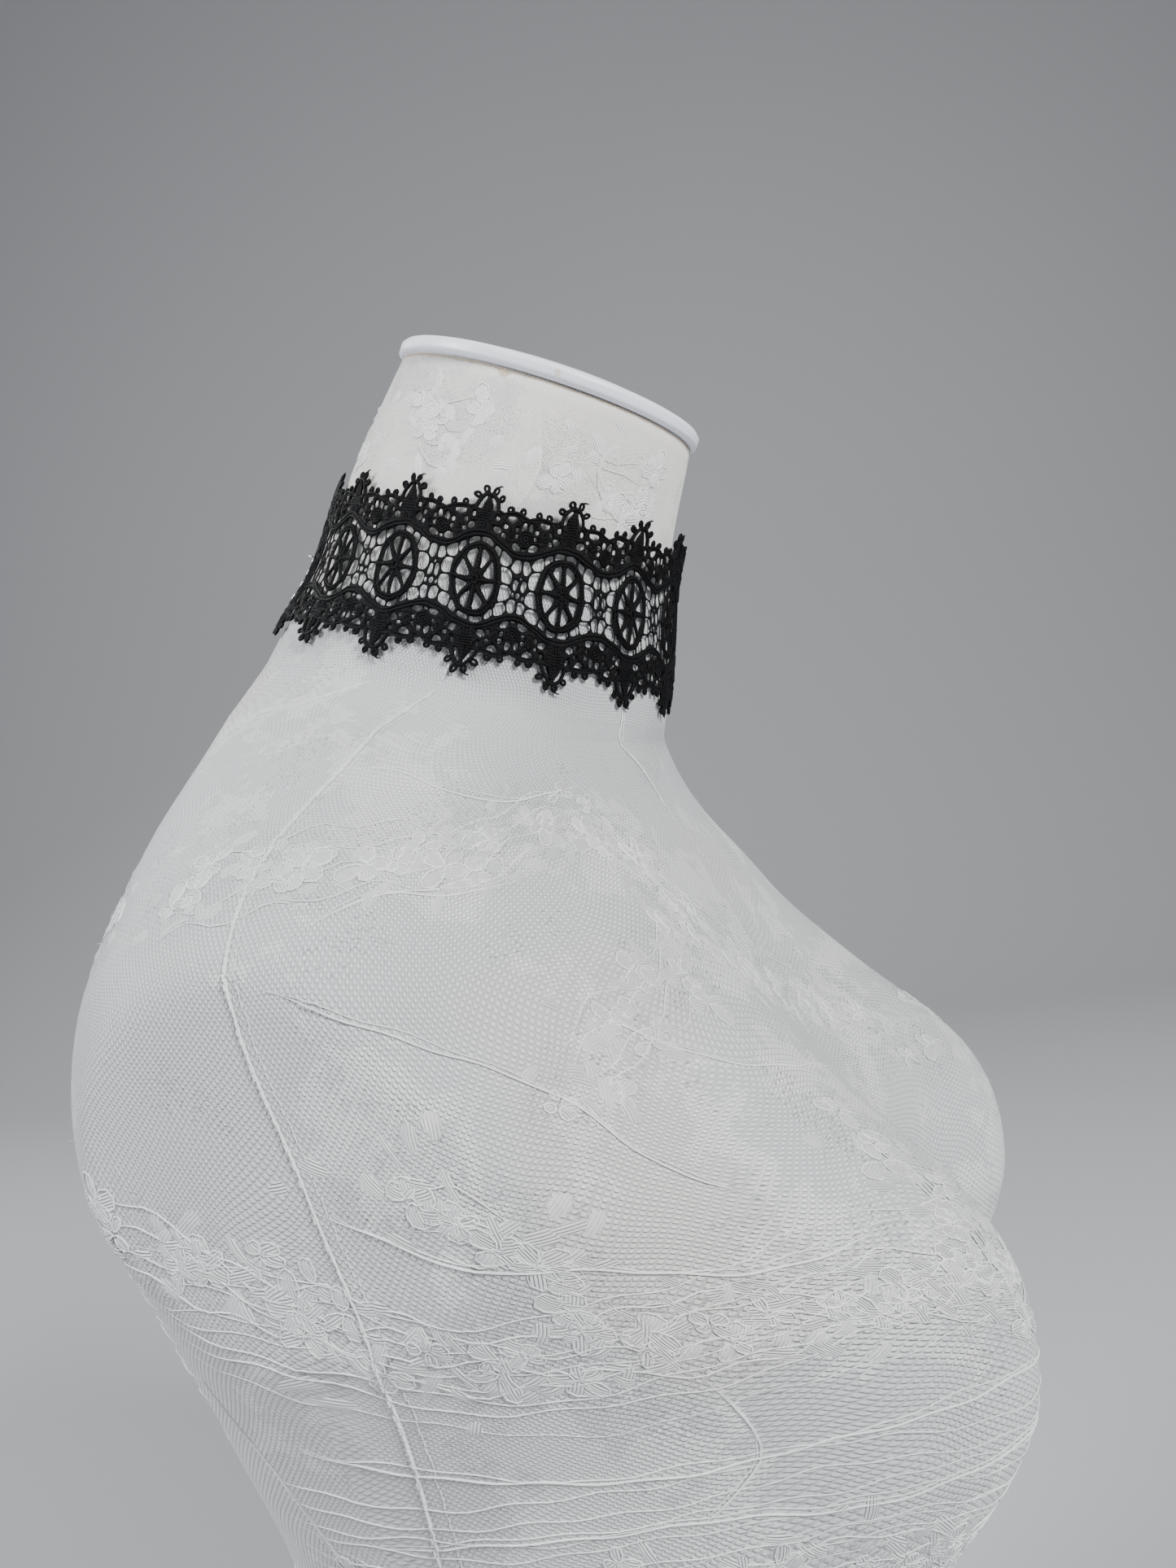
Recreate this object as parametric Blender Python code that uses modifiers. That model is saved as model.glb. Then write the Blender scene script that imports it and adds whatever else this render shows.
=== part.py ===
"""Guipure lace choker with a clasp and chain, worn by a limbless dress form.

Metres, +Z up, the form's chest toward -Y. The origin is under the middle of the form's flat base.
All tables are in millimetres. The neck leans forward, and the band follows it: a place on the band
is (arc, rise), where arc runs round the neck at mid band from its front toward -X, and rise runs
up the leaning neck from mid band.
"""
import math

import bmesh
import bpy
import numpy as np
from mathutils import Vector
from mathutils.geometry import delaunay_2d_cdt

MM = 0.001

# Dress form: one row for each level, with front and back radii measured from the centre line
FORM_COLUMNS = ("height", "centre_y", "half_width", "front", "back", "tilt", "squareness")
FORM_ROWS = (
    (0.0, 31.1, 151.8, 94.1, 96.2, 0.0, 2.1),
    (99.6, 28.8, 116.9, 81.3, 69.6, 0.0, 2.1),
    (160.5, 26.5, 121.3, 89.6, 72.4, 0.0, 2.1),
    (223.5, 23.7, 123.3, 102.8, 76.2, 0.0, 2.1),
    (275.0, 28.7, 137.3, 100.6, 79.3, 0.0, 2.2),
    (310.8, 31.5, 150.9, 102.1, 82.8, 0.0, 2.3),
    (345.2, 36.2, 162.8, 89.9, 87.0, 0.0, 2.3),
    (378.4, 41.6, 155.3, 80.8, 84.2, 0.0, 2.2),
    (411.2, 41.5, 127.5, 66.9, 78.7, 3.0, 2.1),
    (438.0, 37.5, 86.6, 59.5, 75.0, 10.0, 2.0),
    (452.5, 29.0, 58.9, 55.0, 73.6, 17.35, 2.0),
    (479.2, 20.6, 55.3, 52.0, 62.2, 17.35, 2.0),
    (505.9, 12.3, 52.0, 47.0, 56.6, 17.35, 2.0),
    (538.4, 2.5, 44.0, 48.8, 45.4, 25.0, 2.0),
)
FORM_SEGMENTS = 52
LEVELS_PER_ROW = 3
FORM_MID_Y = 9.0             # middle of the form's depth, moved to Y = 0

# Two bust lobes, added to the front
BUST_DEPTH, BUST_X, BUST_HEIGHT = 59.8, 89.2, 275.2
BUST_WIDTH, BUST_RISE, BUST_DROP = 54.2, 78.1, 63.5
# The sides are sliced almost flat where arms would start
ARM_PLATE_X, ARM_PLATE_GIVE = 150.0, 0.08

# Cap on the neck: rise above the cloth's end, and how far the outline lies outside the neck
CAP_COLUMNS = ("rise", "overhang")
CAP_ROWS = ((0.3, -2.0), (0.4, 0.6), (1.2, 1.6), (3.9, 1.6), (4.9, 0.7), (5.4, -1.0), (7.2, -9.0),
            (8.7, -20.0), (9.4, -32.0))

# Band of lace
NECK_TILT = math.radians(17.35)
MID_HEIGHT = 479.2           # height of the neck's centre line at mid band
LACE_THICKNESS = 1.2
REPEATS_PER_HALF = 7
CLOSURE_GAP = 16.0           # between the two ends of the lace
LACE_MIDDLE_ARC = -9.8       # the band is worn turned a little toward -X
WORN_RISE, WORN_RISE_BACK = 1.9, 1.2   # how much higher it sits, and how much more so at the back
WORN_TALL, WORN_TALL_FRONT = 1.02, 0.06   # how far it is drawn out, and how much more so at the front
SEAM_GAP = 0.3
# Distance from the neck to the middle of the lace, by rise
STANDOFF_COLUMNS = ("rise", "side", "front", "back")
STANDOFF_ROWS = ((-28.0, 1.1, 1.0, 2.4), (0.0, 1.1, 1.0, 1.3), (28.0, 2.0, 5.6, 1.5))
END_LIFT, END_LIFT_REACH = 1.3, 11.0

# One repeat of the lace, 23 mm wide, mirrored left and right and up and down
PATTERN_PITCH = 23.0
HALF_CROWN = (               # across, up: from the middle of a crown to the valley beside it
    (0.0, 24.7), (0.9, 25.5), (1.9, 26.0), (2.7, 25.1), (2.8, 23.9), (3.8, 23.8), (4.4, 22.9),
    (3.8, 21.8), (3.4, 19.1), (5.5, 19.6), (6.4, 20.9), (7.3, 19.9), (8.7, 19.9), (9.6, 20.9),
    (10.4, 19.2), (11.5, 17.8),
)
WHEEL_ACROSS, WHEEL_UP = 5.5, 8.1      # half axes of the opening inside the wheel's ring
WHEEL_SPOKES = 8
HUB_RADIUS, SPOKE_HALF = 1.7, 0.7
NET_COLUMNS = ("across", "up", "half_width", "half_height", "corners")
NET_ROWS = ((10.2, 5.7, 0.95, 2.2, 5), (8.2, 3.0, 1.15, 1.9, 5), (1.75, 21.3, 0.6, 2.4, 4))
FILL_POINTS = ((0.0, 0.0), (0.0, 11.7), (3.6, 14.5), (8.0, 14.0), (7.6, 9.9))
END_RISES = (12.0, 6.0, 0.0, -6.0, -12.0)
END_HOLE = (2.15, 0.0, 1.05, 1.1, 8)   # across is from the lace's end

# Clasp and chain, laid along the closure from the far end of the lace toward the near one
RING_RADIUS, RING_WIRE = 2.15, 0.3
RING_INSET, RING_OUT = 0.15, 0.5
PLATE_THICKNESS = 1.2
PLATE_OUT = 0.1
EYE_AT, EYE_OUTER, EYE_HOLE = 1.75, 1.45, 0.8
HOOK_HOLE_AT, HOOK_HOLE_HALF = 7.0, (1.8, 1.25)
CLASP_END = 9.9
CLASP_HALF = ((2.6, 0.95), (3.4, 1.5), (4.6, 2.2), (6.2, 2.6), (7.6, 2.55), (8.9, 1.9), (9.6, 1.0))
LINK_WIRE = 0.25
HOOK_LINK = (8.0, 12.85, 1.3)          # its two ends along the closure, and its half width
SECOND_LINK = (12.05, 15.05, 0.9)
LINK_LENGTH, LINK_HALF_WIDTH, LINK_PITCH = 2.9, 0.8, 2.1
TAIL_AT, TAIL_LINKS, TAIL_TOP = 10.9, 8, 0.8

COLLECTION = "lace_choker_on_dress_form"
FRONT = -math.pi / 2


def smooth_table(rows):
    """Return f(x) that runs smoothly through the rows and never overshoots them."""
    table = np.array(sorted(rows), float)
    x, y = table[:, 0], table[:, 1:]
    step = np.diff(x)
    slope = np.diff(y, axis=0) / step[:, None]
    tangent = np.zeros_like(y)
    for k in range(1, len(x) - 1):
        before, after = slope[k - 1], slope[k]
        w1, w2 = 2 * step[k] + step[k - 1], step[k] + 2 * step[k - 1]
        same = before * after > 0
        safe_before, safe_after = np.where(same, before, 1.0), np.where(same, after, 1.0)
        tangent[k] = np.where(same, (w1 + w2) / (w1 / safe_before + w2 / safe_after), 0.0)
    tangent[0], tangent[-1] = slope[0], slope[-1]

    def value(q):
        k = int(np.clip(np.searchsorted(x, q) - 1, 0, len(step) - 1))
        t = (q - x[k]) / step[k]
        return ((1 + 2 * t) * (1 - t) ** 2 * y[k] + t * (1 - t) ** 2 * step[k] * tangent[k]
                + t * t * (3 - 2 * t) * y[k + 1] + t * t * (t - 1) * step[k] * tangent[k + 1])
    return value


form_row = smooth_table(FORM_ROWS)
standoff_row = smooth_table(STANDOFF_ROWS)


def form_point(height, angle, out=(0.0, 0.0, 0.0), lift=0.0):
    """Point of the form's section at this height of its centre line, angle 0 toward +X.

    out is how far outside it lies at the side, front and back, and lift how far above it.
    """
    centre_y, half_width, front, back, tilt, squareness = form_row(height)
    c, s = math.cos(angle), math.sin(angle)
    x = (half_width + out[0]) * math.copysign(abs(c) ** (2 / squareness), c)
    depth = front + out[1] if s < 0 else back + out[2]
    share = math.copysign(abs(s) ** (2 / squareness), s)
    along = depth * share
    tilt = math.radians(tilt)
    z = height + along * math.sin(tilt) + lift * math.cos(tilt)
    y = centre_y + along * math.cos(tilt) - lift * math.sin(tilt)
    up = (z - BUST_HEIGHT) / (BUST_RISE if z > BUST_HEIGHT else BUST_DROP)
    aside = (abs(x) - BUST_X) / BUST_WIDTH
    y -= BUST_DEPTH * math.exp(-1.2 * (up * up + aside * aside)) * math.sqrt(max(-share, 0.0))
    if abs(x) > ARM_PLATE_X:
        x = math.copysign(ARM_PLATE_X + ARM_PLATE_GIVE * (abs(x) - ARM_PLATE_X), x)
    return Vector((x, y - FORM_MID_Y, z))


def band_surface(angle, rise, out=0.0, lift=0.0):
    """Point of the lace's middle surface, or this far outside it."""
    side, front, back = standoff_row(rise)
    rise *= WORN_TALL + WORN_TALL_FRONT * max(-math.sin(angle), 0.0) ** 3
    rise += WORN_RISE + WORN_RISE_BACK * math.sin(angle)
    height = MID_HEIGHT + rise * math.cos(NECK_TILT)
    return form_point(height, angle, tuple(r + lift + out for r in (side, front, back)))


# Arc length round the lace at mid band, from the front toward -X
STEPS = 720
ANGLES = [FRONT - 2 * math.pi * k / STEPS for k in range(STEPS + 1)]
RING = np.array([band_surface(a, 0.0) for a in ANGLES])
ARCS = np.concatenate([[0.0], np.cumsum(np.linalg.norm(np.diff(RING, axis=0), axis=1))])
BAND_LENGTH = float(ARCS[-1])
PITCH = (BAND_LENGTH - CLOSURE_GAP) / (2 * REPEATS_PER_HALF)
CLOSURE_ARC = LACE_MIDDLE_ARC + BAND_LENGTH / 2


def band_point(arc, rise, out=0.0):
    turns = math.floor(arc / BAND_LENGTH)
    angle = float(np.interp(arc - turns * BAND_LENGTH, ARCS, ANGLES)) - 2 * math.pi * turns
    to_closure = abs((arc - CLOSURE_ARC + BAND_LENGTH / 2) % BAND_LENGTH - BAND_LENGTH / 2)
    beyond = max(to_closure - CLOSURE_GAP / 2, 0.0)
    return band_surface(angle, rise, out, END_LIFT * math.exp(-(beyond / END_LIFT_REACH) ** 2))


def material(name, colour, roughness, metallic=0.0):
    made = bpy.data.materials.new(name)
    made.use_nodes = True
    shader = made.node_tree.nodes["Principled BSDF"]
    shader.inputs["Base Color"].default_value = (*colour, 1.0)
    shader.inputs["Roughness"].default_value = roughness
    shader.inputs["Metallic"].default_value = metallic
    return made


def add_object(name, data, look, smooth=True):
    data.materials.append(look)
    made = bpy.data.objects.new(name, data)
    parts.objects.link(made)
    if smooth and isinstance(data, bpy.types.Mesh):
        data.shade_smooth()
    return made


def loft(name, rings, look):
    """Closed body through rings of equal count, the last one on top, with filled ends."""
    bm = bmesh.new()
    verts = [[bm.verts.new(point * MM) for point in ring] for ring in rings]
    for low, high in zip(verts, verts[1:]):
        for k in range(len(low)):
            after = (k + 1) % len(low)
            bm.faces.new((low[k], low[after], high[after], high[k]))
    bm.faces.new(verts[0][::-1])
    bm.faces.new(verts[-1])
    bmesh.ops.recalc_face_normals(bm, faces=bm.faces)
    data = bpy.data.meshes.new(name)
    bm.to_mesh(data)
    bm.free()
    return add_object(name, data, look)


def counterclockwise(loop):
    area = sum(a[0] * b[1] - b[0] * a[1] for a, b in zip(loop, loop[1:] + loop[:1]))
    return loop if area > 0 else loop[::-1]


def fill_outline(outline, holes, inner_points):
    """Triangles of a flat outline with holes, as points and index triples."""
    loops = [counterclockwise(loop) for loop in (outline, *holes)]
    points = [Vector(p) for loop in loops for p in loop] + [Vector(p) for p in inner_points]
    regions, start = [], 0
    for loop in loops:
        regions.append(tuple(range(start, start + len(loop))))
        start += len(loop)
    inside = 1
    flat, _, faces, _, _, regions_of = delaunay_2d_cdt(points, [], regions, inside, 1e-5)
    solid = [face for face, owners in zip(faces, regions_of) if owners == [0]]
    used = sorted({index for face in solid for index in face})
    place = {index: number for number, index in enumerate(used)}
    return [flat[index] for index in used], [[place[index] for index in face] for face in solid]


def sheet(name, flat, faces, place, thickness, look):
    """Thin wall on the surface that place(across, up) gives."""
    data = bpy.data.meshes.new(name)
    data.from_pydata([place(p.x, p.y) * MM for p in flat], [], [tuple(f) for f in faces])
    made = add_object(name, data, look, smooth=False)
    wall = made.modifiers.new("wall", "SOLIDIFY")
    wall.thickness, wall.offset = thickness * MM, 0.0
    return made


def polygon(across, up, half_width, half_height, corners):
    turn = [2 * math.pi * k / corners for k in range(corners)]
    return [(across + half_width * math.sin(a), up + half_height * math.cos(a)) for a in turn]


def mirrored(loop, flip_across, flip_up):
    return [(-x if flip_across else x, -y if flip_up else y) for x, y in loop]


def wheel_gaps():
    """Openings between the spokes of a wheel, the four beside the upright spoke the largest."""
    sector = 2 * math.pi / WHEEL_SPOKES
    gaps = []
    for k in range(WHEEL_SPOKES):
        first, middle, last = (sector * (k + share) for share in (0.0, 0.5, 1.0))
        loop = [(HUB_RADIUS * math.cos(middle), HUB_RADIUS * 1.3 * math.sin(middle))]
        for turn, inward in ((first, 1), (middle, 0), (last, -1)):
            rim = Vector((WHEEL_ACROSS * math.cos(turn), WHEEL_UP * math.sin(turn)))
            aside = Vector((-rim.y, rim.x)).normalized() * SPOKE_HALF * inward
            loop.append(tuple(rim * (0.97 if inward else 1.0) + aside))
        gaps.append(loop)
    return gaps


def repeat_gaps():
    gaps = wheel_gaps()
    for row in NET_ROWS:
        gaps += [mirrored(polygon(*row), a, b) for a in (False, True) for b in (False, True)]
    return gaps


def lace_half(name, first, closure_side, look):
    """Half of the band, from wheel number first on; closure_side is -1 or 1 along the pattern."""
    stretch = PITCH / PATTERN_PITCH
    top, holes, inner = [], [], []
    for number in range(first, first + REPEATS_PER_HALF):
        shift = (number - 0.5) * PATTERN_PITCH
        crown = [(-x, y) for x, y in HALF_CROWN[:0:-1]] + list(HALF_CROWN)
        top += [(shift + x, y) for x, y in (crown if number == first else crown[1:])]
        holes += [[(shift + x, y) for x, y in gap] for gap in repeat_gaps()]
        inner += sorted({(shift + a * x, b * y) for x, y in FILL_POINTS for a in (-1, 1)
                         for b in (-1, 1)})
    seam_end = 0 if closure_side > 0 else -1
    closure_end = -1 - seam_end
    top[seam_end] = (top[seam_end][0] + closure_side * SEAM_GAP / 2, top[seam_end][1])
    across, up, half_width, half_height, corners = END_HOLE
    holes.append(polygon(top[closure_end][0] - closure_side * across, up, half_width, half_height,
                         corners))
    left, right = top[0][0], top[-1][0]
    outline = top + [(right, y) for y in END_RISES] + [(x, -y) for x, y in reversed(top)] \
        + [(left, -y) for y in END_RISES]
    flat, faces = fill_outline(outline, holes, inner)
    return sheet(name, flat, faces, lambda x, y: band_point(LACE_MIDDLE_ARC + x * stretch, y),
                 LACE_THICKNESS, look)


def wire_loop(name, centre, along, across, half_length, half_width, wire, look, corners=6):
    """Closed wire: two half circles joined by straights, in the plane of along and across."""
    straight = half_length - half_width
    points = []
    for end in (1, -1):
        for k in range(corners + 1):
            turn = math.pi * (k / corners - 0.5)
            points.append(centre + end * (along * (straight + half_width * math.cos(turn))
                                          + across * half_width * math.sin(turn)))
    if straight < 1e-6:
        points = points[:corners] + points[corners + 1:-1]
    data = bpy.data.curves.new(name, "CURVE")
    data.dimensions, data.bevel_depth, data.bevel_resolution = "3D", wire * MM, 1
    data.render_resolution_u = 0
    spline = data.splines.new("POLY")
    spline.points.add(len(points) - 1)
    for point, place in zip(spline.points, points):
        point.co = (*(place * MM), 1.0)
    spline.use_cyclic_u = True
    return add_object(name, data, look)


def closure_axes():
    """Centre of the closure, its direction from the far end of the lace to the near one, and out."""
    centre = band_point(CLOSURE_ARC, 0.0)
    near, far = (band_point(CLOSURE_ARC + d, 0.0) for d in (-1.0, 1.0))
    up = (band_point(CLOSURE_ARC, 1.0) - band_point(CLOSURE_ARC, -1.0)).normalized()
    along = (near - far).normalized()
    up = (up - along * up.dot(along)).normalized()
    return centre, along, up, along.cross(up)


for old in list(bpy.data.objects):
    bpy.data.objects.remove(old, do_unlink=True)
parts = bpy.data.collections.new(COLLECTION)
bpy.context.scene.collection.children.link(parts)

cover = material("form_cover", (0.72, 0.72, 0.73), 0.85)
plastic = material("white_plastic", (0.80, 0.82, 0.86), 0.40)
thread = material("black_thread", (0.012, 0.012, 0.016), 0.70)
metal = material("silver_metal", (0.62, 0.61, 0.60), 0.28, 1.0)

# The form
heights = [row[0] for row in FORM_ROWS]
levels = [a + (b - a) * k / LEVELS_PER_ROW for a, b in zip(heights, heights[1:])
          for k in range(LEVELS_PER_ROW)] + [heights[-1]]
turns = [2 * math.pi * k / FORM_SEGMENTS for k in range(FORM_SEGMENTS)]
loft("form_torso", [[form_point(level, a) for a in turns] for level in levels], cover)
loft("neck_cap", [[form_point(heights[-1], a, (wide,) * 3, rise) for a in turns[::2]]
                  for rise, wide in CAP_ROWS], plastic)

# The lace, in two halves that meet between two wheels
lace_half("lace_right", 1, 1, thread)
lace_half("lace_left", 1 - REPEATS_PER_HALF, -1, thread)

# The closure
centre, along, up, out = closure_axes()
far_end = centre - along * CLOSURE_GAP / 2


def at(distance, outward=0.0, rise=0.0):
    """Point this far along the closure from the lace's far end."""
    return far_end + along * distance + out * outward + up * rise


for name, side in (("ring_far", 1), ("ring_near", -1)):
    arc = CLOSURE_ARC + side * (CLOSURE_GAP / 2 + RING_INSET)
    inward = (band_point(arc - side, 0.0) - band_point(arc + side, 0.0)).normalized()
    outward = inward.cross(up * side).normalized()
    wire_loop(name, band_point(arc, 0.0) + outward * RING_OUT, inward, outward, RING_RADIUS,
              RING_RADIUS, RING_WIRE, metal, 8)

eye = [(EYE_AT + EYE_OUTER * math.cos(a), EYE_OUTER * math.sin(a))
       for a in (math.radians(60 + 30 * k) for k in range(9))]
clasp_outline = eye + [(x, -y) for x, y in CLASP_HALF] + [(CLASP_END, 0.0)] \
    + list(reversed(CLASP_HALF))
clasp_flat, clasp_faces = fill_outline(
    clasp_outline,
    [polygon(EYE_AT, 0.0, EYE_HOLE, EYE_HOLE, 10), polygon(HOOK_HOLE_AT, 0.0, *HOOK_HOLE_HALF, 12)],
    [(3.8, 0.0)])
sheet("clasp", clasp_flat, clasp_faces, lambda x, y: at(x, PLATE_OUT, y), PLATE_THICKNESS, metal)

for name, (start, end, half_width), sideways in (("hook_link", HOOK_LINK, out),
                                                 ("second_link", SECOND_LINK, up)):
    wire_loop(name, at((start + end) / 2, PLATE_OUT), along, sideways, (end - start) / 2,
              half_width, LINK_WIRE, metal)

# The chain's tail hangs from the hook link's outer side and follows the slope of the neck
tail_arc = CLOSURE_ARC + CLOSURE_GAP / 2 - TAIL_AT
pivot = at(TAIL_AT, PLATE_OUT + HOOK_LINK[2])
for number in range(TAIL_LINKS):
    rise = TAIL_TOP - LINK_LENGTH / 2 - LINK_PITCH * number
    slope_here = [band_point(tail_arc, rise + d) for d in (-0.5, 0.0, 0.5)]
    direction = (slope_here[2] - slope_here[0]).normalized()
    place = pivot + slope_here[1] - band_point(tail_arc, 0.0)
    flat_side = direction.cross(along).normalized()
    wire_loop(f"tail_link_{number + 1}", place, direction, flat_side if number % 2 == 0 else along,
              LINK_LENGTH / 2, LINK_HALF_WIDTH, LINK_WIRE, metal)
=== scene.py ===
# %% [markdown]
# A lace choker on a dress form, dressed for its picture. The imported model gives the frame: every
# piece here is built in metres in the same place as its solid, so nothing has to be fitted by eye.

# %% Load the frame
import math

import bmesh
import bpy
import numpy as np
from mathutils import Matrix, Vector
from mathutils.geometry import delaunay_2d_cdt
from mathutils.kdtree import KDTree


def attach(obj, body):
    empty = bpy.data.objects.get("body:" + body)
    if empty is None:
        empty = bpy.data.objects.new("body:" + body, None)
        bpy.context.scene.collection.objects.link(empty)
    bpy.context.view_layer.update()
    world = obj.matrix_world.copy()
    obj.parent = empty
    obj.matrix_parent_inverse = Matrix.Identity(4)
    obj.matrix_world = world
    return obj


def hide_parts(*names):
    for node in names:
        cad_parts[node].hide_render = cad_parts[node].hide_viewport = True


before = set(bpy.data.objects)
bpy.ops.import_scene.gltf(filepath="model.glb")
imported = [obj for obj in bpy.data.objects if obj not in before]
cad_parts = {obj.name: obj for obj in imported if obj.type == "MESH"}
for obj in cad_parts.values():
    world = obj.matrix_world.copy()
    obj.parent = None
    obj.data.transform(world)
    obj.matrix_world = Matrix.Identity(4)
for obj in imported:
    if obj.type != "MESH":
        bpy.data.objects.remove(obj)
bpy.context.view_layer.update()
MM = 0.001
FORM, TAIL = "choker_on_form", "chain_tail"


def linked(name, data):
    """New object in the scene."""
    made = bpy.data.objects.new(name, data)
    bpy.context.scene.collection.objects.link(made)
    return made

# %% [markdown]
# The camera stands at the chest's left in the picture, level with the collar bones, and rolls a
# little, which is why the form seems to lean. Its lens is a short wide one.

# %% Camera
YAW, PITCH_DOWN, ROLL = (math.radians(a) for a in (16.786, -0.081, -6.704))
CAMERA_PLACE, FOCAL_MM, SENSOR_MM = (-0.3553, -0.11403, 0.41836), 27.06, 36.0
forward = Vector((math.cos(YAW) * math.cos(PITCH_DOWN), math.sin(YAW) * math.cos(PITCH_DOWN),
                  -math.sin(PITCH_DOWN)))
level_right = Vector((math.sin(YAW), -math.cos(YAW), 0.0))
level_up = level_right.cross(forward)
right = level_right * math.cos(ROLL) + level_up * math.sin(ROLL)
up = -level_right * math.sin(ROLL) + level_up * math.cos(ROLL)
lens = bpy.data.cameras.new("view")
lens.sensor_fit, lens.sensor_height, lens.lens, lens.clip_start = "VERTICAL", SENSOR_MM, FOCAL_MM, 0.01
camera = linked("view", lens)
camera.matrix_world = Matrix((right, up, -forward)).transposed().to_4x4()
camera.location = CAMERA_PLACE
bpy.context.scene.camera = camera

# %% [markdown]
# Shader maths reads best as plain expressions. A Wire is one socket of a node tree; arithmetic on it
# adds Math nodes, and a Finish is the material that they all belong to.

# %% A small language for materials
class Wire:
    """One output socket, with Python's operators on it."""

    def __init__(self, finish, node, socket):
        self.finish, self.node, self.socket = finish, node, socket

    def out(self, name):
        return Wire(self.finish, self.node, self.node.outputs[name])

    def math(self, operation, *others):
        return self.finish.math(operation, self, *others)

    def __add__(self, other):
        return self.math("ADD", other)

    def __mul__(self, other):
        return self.math("MULTIPLY", other)

    def __sub__(self, other):
        return self.math("SUBTRACT", other)

    def __rsub__(self, other):
        return self.finish.math("SUBTRACT", other, self)

    def __truediv__(self, other):
        return self.math("DIVIDE", other)

    def __pow__(self, other):
        return self.math("POWER", other)

    def wave(self):
        """The value's sine, brought to between 0 and 1."""
        return self.math("SINE") * 0.5 + 0.5

    __radd__, __rmul__ = __add__, __mul__


class Finish:
    """A Principled material under construction."""

    def __init__(self, name, **constants):
        self.made = bpy.data.materials.new(name)
        self.made.use_nodes = True
        self.tree = self.made.node_tree
        self.shader = self.tree.nodes["Principled BSDF"]
        self.dress(**constants)

    def plug(self, socket, value):
        if isinstance(value, Wire):
            self.tree.links.new(value.socket, socket)
        else:
            socket.default_value = value

    def dress(self, **values):
        for name, value in values.items():
            self.plug(self.shader.inputs[name.replace("_", " ")], value)
        return self.made

    def add(self, kind, sockets=None, output=0, **settings):
        node = self.tree.nodes.new(kind)
        for name, value in settings.items():
            setattr(node, name, value)
        for name, value in (sockets or {}).items():
            self.plug(node.inputs[name], value)
        return Wire(self, node, node.outputs[output])

    def math(self, operation, *values):
        return self.add("ShaderNodeMath", dict(enumerate(values)), operation=operation)

    def ramp(self, factor, low, high, value_low=0.0, value_high=1.0):
        """Goes smoothly from one value to another as factor crosses low to high."""
        return self.add("ShaderNodeMapRange", {0: factor, 1: low, 2: high, 3: value_low, 4: value_high},
                        clamp=True, interpolation_type="SMOOTHSTEP")

    def mix(self, factor, first, second):
        return self.add("ShaderNodeMix", {0: factor, 6: first, 7: second}, output=2, data_type="RGBA")

    def noise(self, place, scale, detail=2.0, roughness=0.5):
        return self.add("ShaderNodeTexNoise", {"Vector": place, "Scale": scale, "Detail": detail,
                                               "Roughness": roughness})

    def object_place(self):
        return self.add("ShaderNodeTexCoord", output="Object")

    def attribute(self, name, output="Fac"):
        return self.add("ShaderNodeAttribute", output=output, attribute_name=name)

    def axes(self, vector):
        parts = self.add("ShaderNodeSeparateXYZ", {0: vector})
        return [parts.out(axis) for axis in "XYZ"]

    def bump(self, height, distance, strength):
        return self.add("ShaderNodeBump", {"Height": height, "Distance": distance, "Strength": strength})


def shade(*rgb):
    return (*rgb, 1.0)

# %% [markdown]
# A studio sweep is a floor that curves up into a wall, so no line shows behind the form. It is a
# strip of faces along a quarter circle, turned to face the camera, and it isn't part of the object.

# %% Floor and backdrop
SWEEP_NEAR, SWEEP_FAR, SWEEP_BEND, SWEEP_TOP, SWEEP_HALF, SWEEP_STEPS = -3.5, 1.5, 1.2, 4.5, 5.0, 25
section = [(SWEEP_NEAR, 0.0)] + [
    (SWEEP_FAR + SWEEP_BEND * math.sin(a), SWEEP_BEND * (1 - math.cos(a)))
    for a in np.linspace(0, math.pi / 2, SWEEP_STEPS)] + [(SWEEP_FAR + SWEEP_BEND, SWEEP_TOP)]
sweep_mesh = bpy.data.meshes.new("sweep")
sweep_mesh.from_pydata([(far, side, high) for far, high in section for side in (SWEEP_HALF, -SWEEP_HALF)],
                       [], [(2 * k, 2 * k + 1, 2 * k + 3, 2 * k + 2) for k in range(len(section) - 1)])
sweep_mesh.transform(Matrix.Rotation(YAW, 4, "Z"))
sweep_mesh.shade_smooth()
sweep_mesh.materials.append(Finish("pale_paper", Base_Color=shade(0.46, 0.47, 0.485), Roughness=0.9).made)
linked("sweep", sweep_mesh)

# %% [markdown]
# Three large soft lamps: a key high in front of the chest, a weaker one across from it, behind the
# near shoulder, and a rim light from the far side that draws the cords' edges. The world fills the
# shadows.

# %% Lights
LAMPS = (                    # name, place, size, watts, colour
    ("key", (-0.9, -1.5, 1.5), 0.7, 68.0, (1.0, 1.0, 1.0)),
    ("fill", (-0.9, 1.2, 1.4), 0.8, 38.0, (0.96, 0.98, 1.0)),
    ("rim", (0.5, 1.6, 1.5), 1.0, 12.0, (1.0, 1.0, 1.0)))
AIM = Vector((0.0, 0.0, 0.40))
WORLD_LIGHT, WORLD_STRENGTH = shade(0.80, 0.82, 0.85), 0.24
for name, place, size, watts, colour in LAMPS:
    data = bpy.data.lights.new(name, "AREA")
    data.shape, data.size, data.energy, data.color = "DISK", size, watts, colour
    lamp = linked(name, data)
    lamp.location = place
    lamp.rotation_euler = (AIM - Vector(place)).to_track_quat("-Z", "Y").to_euler()
world = bpy.data.worlds.new("studio")
world.use_nodes = True
background = world.node_tree.nodes["Background"]
background.inputs["Color"].default_value = WORLD_LIGHT
background.inputs["Strength"].default_value = WORLD_STRENGTH
bpy.context.scene.world = world

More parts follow.
